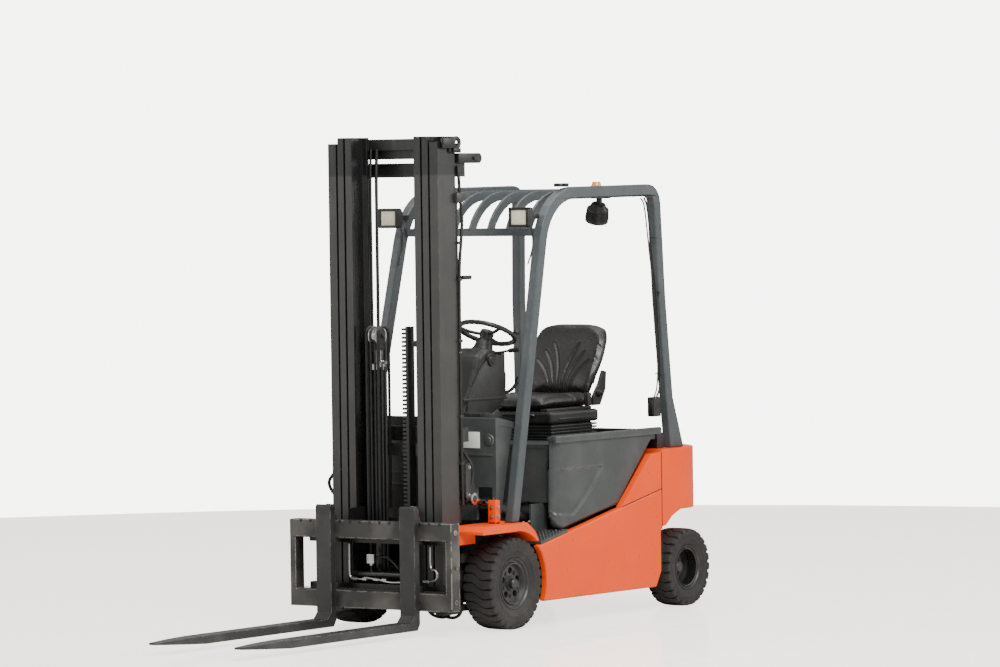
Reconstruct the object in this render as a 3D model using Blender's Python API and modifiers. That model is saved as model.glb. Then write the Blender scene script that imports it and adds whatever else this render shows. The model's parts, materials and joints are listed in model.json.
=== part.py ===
"""Four-wheel electric counterbalance forklift with a three-stage mast.

Metres, +Z up, forks towards -Y, the truck's left side towards +X.
Every place is measured from the ground point under the middle of the front axle,
and one empty then moves the whole truck so that its box is centred on the origin.
"""
import math

import bmesh
import bpy
from mathutils import Matrix, Vector

# ---------------------------------------------------------------- driving dimensions
GAP = 0.0003               # between two pieces that touch
RUN = 0.0005               # between a roller or pin and what it runs in

WHEELBASE = 1.535
FRONT_TYRE_D = 0.457
FRONT_TYRE_W = 0.171
FRONT_RIM_D = 0.256
FRONT_WHEEL_X = 0.4415
REAR_TYRE_D = 0.402
REAR_TYRE_W = 0.150
REAR_RIM_D = 0.234
REAR_WHEEL_X = 0.475
KINGPIN_X = 0.375

BODY_HALF = 0.540          # outside of the skirts
SKIRT_T = 0.040
SKIRT_BOTTOM = 0.125
REAR_END_Y = 1.850
CORNER_R = 0.360           # counterweight's rear corners, seen from above
SEAM_Y = 1.300             # where skirts and panels meet the counterweight
WEIGHT_TOP = 0.820
WEIGHT_BOTTOM = 0.505
DECK_TOP = 0.935           # rims of the side panels
FLOOR_Z = 0.600
ARCH_CLEAR = 0.018         # tyre to skirt

BATTERY = (0.830, 0.630, 0.627)
BATTERY_Y = 0.500          # front face

MAST_HALF = 0.332
MAST_FRONT_Y = -0.350
MAST_DEPTH = 0.146
MAST_TOP = 2.429
MAST_BOTTOM = 0.090
FLANGE_T = 0.018
OUTER_FLANGE = 0.048
MIDDLE_FLANGE = 0.036
INNER_FLANGE = 0.040
STAGE_GAP = 0.010          # between neighbouring uprights
WEB_T = 0.014

CARRIAGE_FRONT_Y = -0.499
CARRIAGE_HALF = 0.489
CARRIAGE_TOP = 0.552
CARRIAGE_BOTTOM = 0.124
FORK_X = 0.2535
FORK_W = 0.090
FORK_T = 0.040
FORK_BOTTOM = 0.030
FORK_LENGTH = 1.344        # from the shank's front face to the tip
FORK_TOP = 0.632

GUARD_TUBE = 0.060         # seen from the side
GUARD_WALL_W = 0.050       # seen from the front
GUARD_BASE_X = 0.470       # middle of the pillar at its foot
GUARD_LEAN = 0.030         # inwards for each metre up
GUARD_FOOT_Z = FRONT_TYRE_D + 0.0683
ROOF_Z = 2.140
ROOF_REAR_Y = 1.430

STEER_WHEEL_D = 0.310
STEER_HUB = (0.0, 0.525, 1.440)
STEER_TILT = math.radians(25.0)

HOOD_HINGE = (1.370, 0.915)
HOOD_FRONT_Y = 0.630
SEAT_W = 0.470
SEAT_FRONT_Y = 0.690
SEAT_BACK_Y = 1.180

TILT_PIVOT = (0.0, FRONT_TYRE_D / 2)
TILT_EYE = (-0.130, 0.650)
TILT_BASE = (0.360, 0.520)
TILT_X = 0.3555
TILT_BARREL_R = 0.030
TILT_PIN_R = 0.012
TILT_EYE_CLEAR = 0.003

WHEEL_STEPS = 32
ROUND = 20

# ---------------------------------------------------------------- derived places
FORK_HEEL_Y = CARRIAGE_FRONT_Y - GAP - FORK_T
FORK_TIP_Y = FORK_HEEL_Y - FORK_LENGTH
TRUCK_Y = -(FORK_TIP_Y + REAR_END_Y) / 2
FRONT_AXLE_Z = FRONT_TYRE_D / 2
REAR_AXLE_Z = REAR_TYRE_D / 2
MAST_REAR_Y = MAST_FRONT_Y + MAST_DEPTH
OUTER_IN = MAST_HALF - OUTER_FLANGE
MIDDLE_OUT = OUTER_IN - STAGE_GAP
MIDDLE_IN = MIDDLE_OUT - MIDDLE_FLANGE
INNER_OUT = MIDDLE_IN - STAGE_GAP
INNER_IN = INNER_OUT - INNER_FLANGE
ROLLER_R = (MAST_DEPTH - 2 * FLANGE_T) / 2 - 0.001 - RUN
ROLLER_Y = MAST_FRONT_Y + MAST_DEPTH / 2
SKIRT_IN = BODY_HALF - SKIRT_T
ARCH_R = FRONT_TYRE_D / 2 + ARCH_CLEAR

# ---------------------------------------------------------------- sizes of single groups
# axles and chassis
AXLE_R = 0.060
CHASSIS_FRONT_Y = 0.095
KNUCKLE_H = 0.055
SADDLE_H = 0.048
# skirts and chassis tray
FRAME_FRONT_X = 0.325
TRAY_END_Y = 1.255
SKIRT_FRONT_Z = 0.403
SKIRT_FRONT_Y = math.sqrt(ARCH_R ** 2 - (SKIRT_FRONT_Z - FRONT_AXLE_Z) ** 2)
SKIRT_RISE = (SKIRT_FRONT_Y, SKIRT_FRONT_Z, SEAM_Y, 0.620)    # its slanting top edge
# side panels, counterweight, cowl and guard
RIM_IN = 0.462
PANEL_OUT = 0.506
PANEL_FRONT_Y = 0.380
LOBE_HALF = 0.170
WEIGHT_EDGE = 0.052
COWL_Y = -0.020
COWL_TOP = 1.040
SLATS = 7
SLAT_H = 0.044
SLAT_W = 0.016
SLAT_DROP = 0.012          # under the side frame's middle line
HEADER_Y = 0.400           # the slats start behind this
TAIL_Y = (1.365, 1.405)
HEADLAMP_REACH = 0.4034
COLUMN_FOOT_Y = 0.145
COVER_HALF = 0.084
COLUMN_COVER = ((0.150, 0.815), (0.372, 0.815), (0.380, 0.925), (0.480, 0.990), (0.565, 1.120),
                (0.580, 1.210), (0.548, 1.300), (0.500, 1.352), (0.400, 1.372), (0.325, 1.330),
                (0.262, 1.180), (0.190, 1.040))
# hood and seat
DECK_Z = 0.890
PLINTH_TOP = 0.972
PLINTH_HALF = 0.245
PLATE_HALF = 0.270
CUSHION_Z = 1.035
CUSHION_H = 0.085
BACK_TOP = 1.480
# mast stages and their cylinders
LIFT_X = 0.2885
LIFT_R = 0.026
LIFT_Y = MAST_REAR_Y + 0.008 + LIFT_R
OUTER_CROSS = (LIFT_Y + LIFT_R + GAP, LIFT_Y + LIFT_R + 0.026)
MIDDLE_CROSS = (MAST_REAR_Y + 0.020, MAST_REAR_Y + 0.039)
INNER_CROSS = (MAST_REAR_Y - 0.006, MAST_REAR_Y + 0.013)
OUTER_TOP = MAST_TOP - 0.029
ROD_HEAD = (OUTER_TOP + 0.0055, MAST_TOP)
BARREL_Z = (0.131, 2.150)
PIVOT = (0.0, *TILT_PIVOT)
LIFT_ROD_R = 0.017
FREE_X = -0.100
FREE_Y = -0.275
FREE_R = 0.034
FREE_ROD_R = 0.022
FREE_Z = (0.175, 1.290)
CROSSHEAD_Z = 1.380
# carriage
FRAME_T = 0.068
BAR_Y = (CARRIAGE_FRONT_Y + FRAME_T, MAST_FRONT_Y - 0.010)
BAR_Z = ((0.150, 0.240), (0.440, 0.530))
BAR_H = 0.085
CHEEK_X = INNER_IN - 0.008
# tilt rods
TILT_ROD_R = 0.016
TILT_EYE_W = 0.034


# ---------------------------------------------------------------- scene and helpers
for old in list(bpy.data.objects):
    bpy.data.objects.remove(old, do_unlink=True)

parts = bpy.data.collections.new("forklift")
cutters = bpy.data.collections.new("cutters")
bpy.context.scene.collection.children.link(parts)
bpy.context.scene.collection.children.link(cutters)

truck = bpy.data.objects.new("truck_origin", None)
truck.location = (0.0, TRUCK_Y, 0.0)
parts.objects.link(truck)

COLOURS = {
    "orange": ((0.90, 0.17, 0.03), 0.35, 0.0),
    "grey": ((0.10, 0.13, 0.14), 0.45, 0.0),
    "panel": ((0.16, 0.18, 0.17), 0.45, 0.0),
    "mast": ((0.05, 0.055, 0.06), 0.45, 0.3),
    "steel": ((0.03, 0.03, 0.032), 0.5, 0.4),
    "chrome": ((0.75, 0.75, 0.75), 0.15, 1.0),
    "black": ((0.012, 0.012, 0.013), 0.5, 0.0),
    "vinyl": ((0.015, 0.015, 0.015), 0.4, 0.0),
    "tyre": ((0.02, 0.02, 0.02), 0.85, 0.0),
    "rim": ((0.05, 0.055, 0.06), 0.5, 0.2),
    "lamp": ((0.75, 0.72, 0.62), 0.2, 0.0),
    "battery": ((0.03, 0.035, 0.04), 0.6, 0.0),
}


def material(name):
    """The Principled material of one finish, made once."""
    found = bpy.data.materials.get(name)
    if found:
        return found
    colour, roughness, metallic = COLOURS[name]
    made = bpy.data.materials.new(name)
    made.use_nodes = True
    shader = made.node_tree.nodes["Principled BSDF"]
    shader.inputs["Base Color"].default_value = (*colour, 1.0)
    shader.inputs["Roughness"].default_value = roughness
    shader.inputs["Metallic"].default_value = metallic
    return made


def mesh_object(name, mesh):
    made = bpy.data.objects.new(name, mesh)
    cutters.objects.link(made)
    made.parent = truck
    made.hide_render = True
    made.display_type = "WIRE"
    return made


def box(name, x, y, z):
    """A box from (low, high) pairs."""
    shape = bmesh.new()
    bmesh.ops.create_cube(shape, size=1.0)
    size = Vector((x[1] - x[0], y[1] - y[0], z[1] - z[0]))
    centre = Vector((sum(x) / 2, sum(y) / 2, sum(z) / 2))
    place = Matrix.Translation(centre) @ Matrix.Diagonal((*size, 1.0))
    bmesh.ops.transform(shape, matrix=place, verts=shape.verts)
    mesh = bpy.data.meshes.new(name)
    shape.to_mesh(mesh)
    shape.free()
    return mesh_object(name, mesh)


def rod(name, start, end, radius, sides=ROUND, end_radius=None):
    """A cylinder, or a cone, between two points."""
    start = Vector(start)
    end = Vector(end)
    shape = bmesh.new()
    bmesh.ops.create_cone(shape, cap_ends=True, segments=sides, radius1=radius,
                          radius2=radius if end_radius is None else end_radius,
                          depth=(end - start).length)
    turn = (end - start).to_track_quat("Z", "Y").to_matrix().to_4x4()
    place = Matrix.Translation((start + end) / 2) @ turn
    bmesh.ops.transform(shape, matrix=place, verts=shape.verts)
    mesh = bpy.data.meshes.new(name)
    shape.to_mesh(mesh)
    shape.free()
    return mesh_object(name, mesh)


PLANES = {
    "yz": Matrix(((0, 0, 1, 0), (1, 0, 0, 0), (0, 1, 0, 0), (0, 0, 0, 1))),
    "xy": Matrix.Identity(4),
}
ACROSS = {"yz": Vector((1, 0, 0)), "xy": Vector((0, 0, 1))}


def to_mesh(name, curve_object):
    """The curve's evaluated shape as a welded mesh object in its place."""
    depsgraph = bpy.context.evaluated_depsgraph_get()
    evaluated = curve_object.evaluated_get(depsgraph)
    mesh = bpy.data.meshes.new_from_object(evaluated, depsgraph=depsgraph)
    shape = bmesh.new()
    shape.from_mesh(mesh)
    bmesh.ops.remove_doubles(shape, verts=shape.verts, dist=0.00001)
    bmesh.ops.transform(shape, matrix=curve_object.matrix_basis, verts=shape.verts)
    shape.to_mesh(mesh)
    shape.free()
    data = curve_object.data
    bpy.data.objects.remove(curve_object, do_unlink=True)
    bpy.data.curves.remove(data)
    mesh.name = name
    return mesh_object(name, mesh)


def flat(name, points, plane, span):
    """A flat outline in a plane, as thick as span, its (low, high) across the plane."""
    data = bpy.data.curves.new(name, "CURVE")
    data.dimensions = "2D"
    data.fill_mode = "BOTH"
    data.extrude = (span[1] - span[0]) / 2
    line = data.splines.new("POLY")
    line.points.add(len(points) - 1)
    for target, (u, v) in zip(line.points, points):
        target.co = (u, v, 0.0, 1.0)
    line.use_cyclic_u = True
    outline = bpy.data.objects.new(name, data)
    bpy.context.scene.collection.objects.link(outline)
    middle = ACROSS[plane] * (sum(span) / 2)
    outline.matrix_basis = Matrix.Translation(middle) @ PLANES[plane]
    return to_mesh(name, outline)


def turned(name, profile, centre, side, steps):
    """A profile of (radius, height) turned about the X axis, its top facing outwards."""
    shape = bmesh.new()
    corners = [shape.verts.new((radius, 0.0, height)) for radius, height in profile]
    for first, second in zip(corners, corners[1:]):
        shape.edges.new((first, second))
    if profile[0][0] > 0:
        shape.edges.new((corners[-1], corners[0]))
    mesh = bpy.data.meshes.new(name)
    shape.to_mesh(mesh)
    shape.free()
    made = mesh_object(name, mesh)
    made.location = centre
    made.rotation_euler = (0.0, math.radians(90.0) * side, 0.0)
    screw = made.modifiers.new("turn", "SCREW")
    screw.steps = steps
    screw.render_steps = steps
    screw.use_merge_vertices = True
    screw.merge_threshold = 0.00005
    return made


def combine(target, others, operation):
    for other in others:
        step = target.modifiers.new(operation.lower(), "BOOLEAN")
        step.operation = operation
        step.solver = "EXACT"
        step.use_hole_tolerant = True
        step.object = other
    return target


def union(target, *others):
    return combine(target, others, "UNION")


def cut(target, *others):
    return combine(target, others, "DIFFERENCE")


def bevel(target, width, segments=1, angle=40.0):
    step = target.modifiers.new("bevel", "BEVEL")
    step.width = width
    step.segments = segments
    step.limit_method = "ANGLE"
    step.angle_limit = math.radians(angle)
    return target


def move_origin(target, place):
    """Puts an object's origin on its joint's axis and leaves its shape where it is."""
    shift = Vector(place) - target.location
    target.data.transform(Matrix.Translation(-shift))
    target.location = place


def node(target, name, finish, origin=None):
    """Makes a shape one of the truck's own pieces."""
    if origin is not None:
        move_origin(target, origin)
    cutters.objects.unlink(target)
    parts.objects.link(target)
    target.name = name
    target.hide_render = False
    target.display_type = "TEXTURED"
    target.data.materials.clear()
    target.data.materials.append(material(finish))
    return target


def arc(centre, radius, start, stop, count):
    """Points on a circle, from one angle to another in degrees."""
    points = []
    for step in range(count + 1):
        angle = math.radians(start + (stop - start) * step / count)
        points.append((centre[0] + radius * math.cos(angle), centre[1] + radius * math.sin(angle)))
    return points


def fillet(before, corner, after, radius, count=5):
    """Points of the arc that rounds a corner."""
    corner = Vector(corner)
    incoming = (Vector(before) - corner).normalized()
    outgoing = (Vector(after) - corner).normalized()
    half = incoming.angle(outgoing) / 2
    middle = corner + (incoming + outgoing).normalized() * (radius / math.sin(half))
    first = corner + incoming * (radius / math.tan(half)) - middle
    last = corner + outgoing * (radius / math.tan(half)) - middle
    turn = first.angle_signed(last)
    points = []
    for step in range(count + 1):
        spun = Matrix.Rotation(-turn * step / count, 2) @ first
        points.append(tuple(middle + spun))
    return points


def ribbon(path, width):
    """The outline of a band of a width that follows a path."""
    left = []
    right = []
    for index, place in enumerate(path):
        before = Vector(path[max(index - 1, 0)])
        after = Vector(path[min(index + 1, len(path) - 1)])
        along = (after - before).normalized()
        sideways = Vector((-along.y, along.x)) * (width / 2)
        left.append(tuple(Vector(place) + sideways))
        right.append(tuple(Vector(place) - sideways))
    return left + right[::-1]


def pair(side, low, high):
    """A (low, high) span on the left, or mirrored to the right."""
    return (low, high) if side > 0 else (-high, -low)


SIDES = (("left", 1), ("right", -1))


# ---------------------------------------------------------------- wheels
def tyre_profile(diameter, width, hole):
    """A solid tyre's section, top to bottom down its outer side and back up its hole."""
    outer = diameter / 2
    half = width / 2
    inner = hole / 2 + GAP
    shoulder = 0.018
    wall = (outer + inner) / 2
    return [
        (inner, half - 0.014), (inner + 0.012, half - 0.004), (wall, half),
        (outer - shoulder, half - 0.006), (outer, half - shoulder - 0.006),
        (outer, -half + shoulder + 0.006), (outer - shoulder, -half + 0.006), (wall, -half),
        (inner + 0.012, -half + 0.004), (inner, -half + 0.014),
    ]


def front_rim_profile():
    """Shallow dished drive wheel with a round hub cap."""
    radius = FRONT_RIM_D / 2
    half = FRONT_TYRE_W / 2 - 0.016
    return [
        (0.0, 0.052), (0.026, 0.052), (0.034, 0.030), (0.052, 0.026), (radius - 0.030, 0.026),
        (radius - 0.012, half), (radius, half), (radius, -half), (radius - 0.012, -half),
        (radius - 0.020, -0.030), (0.080, -0.030), (0.080, -0.046), (0.0, -0.046),
    ]


def rear_rim_profile():
    """Deep dished steering wheel rim with its disc near the knuckle."""
    radius = REAR_RIM_D / 2
    half = REAR_TYRE_W / 2 - 0.014
    return [
        (0.0, 0.010), (0.024, 0.010), (0.034, 0.000), (0.036, -0.022), (radius - 0.022, -0.022),
        (radius - 0.012, half), (radius, half), (radius, -half), (radius - 0.010, -half),
        (radius - 0.016, -0.042), (0.0, -0.042),
    ]


def wheel(place, label, side, centre, tyre_size, rim_points):
    """A tyre and its rim about one axle."""
    tyre = turned("tyre", tyre_profile(*tyre_size), centre, side, WHEEL_STEPS)
    node(tyre, f"{place}_tyre_{label}", "tyre")
    rim = turned("rim", rim_points, centre, side, WHEEL_STEPS)
    node(rim, f"{place}_rim_{label}", "rim")


def wheels():
    for label, side in SIDES:
        wheel("front", label, side, (side * FRONT_WHEEL_X, 0.0, FRONT_AXLE_Z),
              (FRONT_TYRE_D, FRONT_TYRE_W, FRONT_RIM_D), front_rim_profile())
        wheel("rear", label, side, (side * REAR_WHEEL_X, WHEELBASE, REAR_AXLE_Z),
              (REAR_TYRE_D, REAR_TYRE_W, REAR_RIM_D), rear_rim_profile())


def drive_axle():
    """Axle housing between the front wheels, with the drive unit's round case."""
    end = FRONT_WHEEL_X - 0.046 - GAP
    axle = rod("axle", (-end, 0.0, FRONT_AXLE_Z), (end, 0.0, FRONT_AXLE_Z), AXLE_R, 28)
    case = rod("case", (-0.150, 0.0, FRONT_AXLE_Z), (0.150, 0.0, FRONT_AXLE_Z),
               CHASSIS_FRONT_Y - GAP, 28)
    node(union(axle, case), "drive_axle", "steel")


def steer_axle():
    """Beam with a fork at each end, and the two knuckles it carries."""
    z = REAR_AXLE_Z
    beam = box("beam", (-0.322, 0.322), (WHEELBASE - 0.040, WHEELBASE + 0.040),
               (z - 0.035, z + SADDLE_H))
    arms = []
    for label, side in SIDES:
        for low, high in ((KNUCKLE_H, KNUCKLE_H + 0.022), (-KNUCKLE_H - 0.022, -KNUCKLE_H)):
            arms.append(box("arm", pair(side, 0.300, KINGPIN_X + 0.026),
                            (WHEELBASE - 0.026, WHEELBASE + 0.026), (z + low, z + high)))
        arms.append(box("root", pair(side, 0.304, 0.332), (WHEELBASE - 0.028, WHEELBASE + 0.028),
                        (z - KNUCKLE_H - 0.020, z + KNUCKLE_H + 0.020)))
        centre = (side * KINGPIN_X, WHEELBASE)
        barrel = rod("barrel", (*centre, z - KNUCKLE_H + GAP), (*centre, z + KNUCKLE_H - GAP), 0.026)
        reach = REAR_WHEEL_X - 0.042 - GAP
        stub = rod("stub", (*centre, z), (side * reach, WHEELBASE, z), 0.022)
        node(union(barrel, stub), f"knuckle_{label}", "steel", (*centre, z))
    node(union(beam, *arms), "steer_axle", "steel")


# ---------------------------------------------------------------- body
def chassis():
    """Welded frame: drive box between the front wheels and the battery tray behind it."""
    front = box("front", (-FRAME_FRONT_X, FRAME_FRONT_X), (CHASSIS_FRONT_Y, 0.480),
                (0.130, FLOOR_Z - 0.012 - GAP))
    tray = box("tray", (-SKIRT_IN + GAP, SKIRT_IN - GAP), (0.290, TRAY_END_Y), (0.130, 0.400))
    hollow = box("hollow", (-0.425, 0.425), (BATTERY_Y - 0.010, BATTERY_Y + BATTERY[1] + 0.010),
                 (0.150, 0.700))
    frame = union(front, tray)
    pins = []
    for label, side in SIDES:
        pins.append(rod("pin", (side * (FRAME_FRONT_X - 0.02), *TILT_BASE),
                        (side * (TILT_X + 0.022), *TILT_BASE), TILT_PIN_R))
    union(frame, *pins)
    cut(frame, hollow)
    node(frame, "chassis_frame", "steel")

    y = (BATTERY_Y, BATTERY_Y + BATTERY[1])
    block = box("block", (-BATTERY[0] / 2, BATTERY[0] / 2), y, (0.150 + GAP, 0.150 + BATTERY[2]))
    node(block, "battery", "battery")


def skirt_top(y):
    """Height of the skirt's slanting top edge."""
    y0, z0, y1, z1 = SKIRT_RISE
    return z0 + (z1 - z0) * (y - y0) / (y1 - y0)


def skirts():
    """Orange side skirts, from the front wheel to the rear one."""
    for label, side in SIDES:
        low = math.degrees(math.asin((SKIRT_BOTTOM - FRONT_AXLE_Z) / ARCH_R))
        high = math.degrees(math.asin((SKIRT_RISE[1] - FRONT_AXLE_Z) / ARCH_R))
        outline = arc((0.0, FRONT_AXLE_Z), ARCH_R, high, low, 8)
        outline += [(1.240, SKIRT_BOTTOM - 0.005), (SEAM_Y - 0.012, 0.200), (SEAM_Y - 0.012, 0.400),
                    (SEAM_Y - GAP, 0.420), (SEAM_Y - GAP, skirt_top(SEAM_Y))]
        skirt = flat("skirt", outline, "yz", pair(side, SKIRT_IN, BODY_HALF))
        node(bevel(skirt, 0.008, 2), f"skirt_{label}", "orange")


def fenders():
    """Orange covers over the front wheels, down to the step."""
    for label, side in SIDES:
        under = arc((0.0, FRONT_AXLE_Z), ARCH_R + 0.012, 50.0, 96.0, 8)
        front = (-0.300, under[-1][1])
        outline = [*under, front, (-0.300, GUARD_FOOT_Z - 0.0253), (-0.270, GUARD_FOOT_Z - GAP),
                   (0.080, GUARD_FOOT_Z - GAP), (0.145, GUARD_FOOT_Z - 0.0453),
                   (0.178, GUARD_FOOT_Z - 0.0933)]
        fender = flat("fender", outline, "yz", pair(side, 0.348, BODY_HALF))
        apron = box("apron", pair(side, 0.349, 0.402), (-0.299, -0.172),
                    (GUARD_FOOT_Z - 0.092, front[1] + 0.004))
        node(union(fender, apron), f"fender_{label}", "orange")


def floor_plate():
    """Footwell floor with a boarding step on each side."""
    floor = box("floor", (-0.318, 0.318), (COWL_Y + 0.020 + GAP, 0.480), (FLOOR_Z - 0.012, FLOOR_Z))
    others = []
    for label, side in SIDES:
        step = [(0.2, skirt_top(0.2) + GAP), (0.440, skirt_top(0.440) + GAP),
                (0.440, skirt_top(0.440) + 0.014), (0.2, skirt_top(0.2) + 0.014)]
        others.append(flat("step", step, "yz", pair(side, 0.400, BODY_HALF - 0.004)))
        others.append(box("riser", pair(side, 0.404, 0.416), (0.290, 0.436), (0.435, FLOOR_Z - 0.002)))
        others.append(box("bridge", pair(side, 0.310, 0.410), (0.417, 0.434),
                          (FLOOR_Z - 0.0105, FLOOR_Z - 0.001)))
    node(union(floor, *others), "floor_plate", "grey")


def side_panels():
    """Grey battery side panels with a rim on top, and the orange panels behind them."""
    for label, side in SIDES:
        low = skirt_top(PANEL_FRONT_Y) + 0.020
        outline = [(PANEL_FRONT_Y, low), (0.911, skirt_top(0.911) + 0.004), (1.190, 0.800),
                   (1.285, 0.905), (1.285, DECK_TOP - 0.020), (PANEL_FRONT_Y, DECK_TOP - 0.020)]
        panel = flat("panel", outline, "yz", pair(side, RIM_IN, PANEL_OUT))
        rim = box("rim", pair(side, RIM_IN + 0.002, PANEL_OUT + 0.020), (PANEL_FRONT_Y - 0.006, 1.330),
                  (DECK_TOP - 0.034, DECK_TOP))
        node(union(panel, rim), f"side_panel_{label}", "panel")

        triangle = [(0.925, skirt_top(0.925) + GAP), (SEAM_Y - GAP, skirt_top(SEAM_Y) + GAP),
                    (SEAM_Y - GAP, 0.808), (1.204, 0.802)]
        filler = flat("filler", triangle, "yz", pair(side, SKIRT_IN, BODY_HALF - 0.004))
        node(filler, f"rear_panel_{label}", "orange")


def counterweight():
    """Cast weight with big round rear corners, arched over the steered wheels."""
    corner = arc((BODY_HALF - CORNER_R, REAR_END_Y - CORNER_R), CORNER_R, 0.0, 90.0, 10)
    plan = [(BODY_HALF, SEAM_Y - 0.2)] + corner
    plan += [(-x, y) for x, y in plan[::-1]]
    weight = flat("weight", plan, "xy", (0.150, WEIGHT_TOP))
    bevel(weight, WEIGHT_EDGE, 2, 60.0)
    front = box("front", (-1.0, 1.0), (0.0, SEAM_Y), (0.0, 1.0))
    arches = []
    for label, side in SIDES:
        arch = [(SEAM_Y - 0.1, 0.10), (SEAM_Y - 0.1, 0.415), (SEAM_Y + 0.03, 0.430),
                (SEAM_Y + 0.09, 0.475), (SEAM_Y + 0.17, WEIGHT_BOTTOM), (2.0, WEIGHT_BOTTOM), (2.0, 0.10)]
        arches.append(flat("arch", arch, "yz", pair(side, LOBE_HALF, 0.700)))
    tail = box("tail", (-0.3, 0.3), (REAR_END_Y - 0.060, 2.0), (0.1, 0.330))
    saddle = box("saddle", (-0.7, 0.7), (WHEELBASE - 0.060, WHEELBASE + 0.060),
                 (0.1, REAR_AXLE_Z + SADDLE_H + GAP))
    cut(weight, front, *arches, tail, saddle)
    node(weight, "counterweight", "orange")


def front_cowl():
    """Dashboard shell in front of the driver."""
    front = box("front", (-0.425, 0.425), (COWL_Y, COWL_Y + 0.020), (GUARD_FOOT_Z + 0.010, COWL_TOP))
    top = flat("top", [(COWL_Y + 0.004, COWL_TOP - 0.032), (0.170, COWL_TOP - 0.060),
                       (0.170, COWL_TOP - 0.030), (COWL_Y + 0.022, COWL_TOP + 0.003)], "yz",
               (-0.423, 0.423))
    others = [top]
    notches = []
    for label, side in SIDES:
        wing = [(COWL_Y + 0.006, GUARD_FOOT_Z + 0.013), (0.020, GUARD_FOOT_Z + 0.013),
                (0.130, COWL_TOP - 0.045), (COWL_Y + 0.006, COWL_TOP - 0.012)]
        others.append(flat("wing", wing, "yz", pair(side, 0.403, 0.421)))
        notches.append(box("notch", pair(side, 0.305, 0.401), (-0.2, 0.02), (0.4, 0.700)))
    node(cut(union(front, *others), *notches), "front_cowl", "panel")


# ---------------------------------------------------------------- overhead guard
def guard_path():
    """The side frame's centre line: up the front pillar, back along the roof, down the rear."""
    foot = (0.046, GUARD_FOOT_Z)
    front_corner = (foot[0] + 0.243 * (ROOF_Z - foot[1]), ROOF_Z)
    rear_corner = (ROOF_REAR_Y, ROOF_Z + 0.010)
    waist = (1.445, 1.580)
    lower = (1.480, 1.065)
    rear_foot = (1.530, WEIGHT_TOP + GAP)
    path = [foot]
    path += fillet(foot, front_corner, rear_corner, 0.300, 7)
    path += fillet(front_corner, rear_corner, waist, 0.070, 4)
    path += [waist, lower, rear_foot]
    return path


def guard_sides():
    for label, side in SIDES:
        path = guard_path()
        outline = ribbon(path, GUARD_TUBE)
        count = len(path)
        outline[0] = (outline[0][0], GUARD_FOOT_Z)
        outline[-1] = (outline[-1][0], GUARD_FOOT_Z)
        outline[count - 1] = (outline[count - 1][0] + 0.03, WEIGHT_TOP + GAP)
        outline[count] = (outline[count][0] - 0.03, WEIGHT_TOP + GAP)
        frame = flat("guard", outline, "yz", (-GUARD_WALL_W / 2, GUARD_WALL_W / 2))
        lean = Matrix.Shear("XY", 4, (-side * GUARD_LEAN, 0.0))
        place = Matrix.Translation((side * (GUARD_BASE_X + GUARD_LEAN * GUARD_FOOT_Z), 0.0, 0.0))
        frame.data.transform(place @ lean)
        node(bevel(frame, 0.008, 2, 50.0), f"guard_{label}", "grey")


def guard_roof():
    """Roof grille: a header, a rear bar and slats that follow the guard's curve."""
    path = guard_path()
    over = [(y, z - SLAT_DROP) for y, z in path if HEADER_Y < y < TAIL_Y[0] and z > GUARD_FOOT_Z + 1.0]
    over = over + [(TAIL_Y[0] + 0.008, ROOF_Z - 0.004)]
    half = GUARD_BASE_X - GUARD_LEAN * (ROOF_Z + 0.020 - GUARD_FOOT_Z) - GUARD_WALL_W / 2 - GAP
    start = over[0]
    header = box("header", (-half, half), (start[0] - 0.015, start[0] + 0.030),
                 (start[1] - 0.025, start[1] + 0.015))
    tail = box("tail", (-half, half), TAIL_Y, (ROOF_Z - 0.020, ROOF_Z + 0.020))
    slats = []
    for index in range(SLATS):
        x = -half * 0.86 + index * (2 * half * 0.86) / (SLATS - 1)
        slats.append(flat("slat", ribbon(over, SLAT_H), "yz", (x - SLAT_W / 2, x + SLAT_W / 2)))
    node(union(header, tail, *slats), "guard_roof", "grey")


def lamps():
    """Two headlamps on the guard's front corners and a round lamp under the roof's rear bar."""
    for label, side in SIDES:
        x = side * 0.400
        case = box("case", (x - 0.060, x + 0.060), (0.235, 0.290), (1.975, 2.075))
        stalk = box("stalk", (x - 0.010, x + 0.010), (0.280, HEADLAMP_REACH), (2.030, 2.045))
        node(union(bevel(case, 0.012, 2), stalk), f"headlamp_{label}", "lamp")
    lamp = rod("lamp", (0.130, 1.330, 2.030), (0.130, 1.410, 2.035), 0.062)
    stem = rod("stem", (0.130, 1.385, 2.040), (0.130, 1.385, ROOF_Z - 0.020 - GAP), 0.014, 12)
    node(union(lamp, stem), "rear_lamp", "black")


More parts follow.
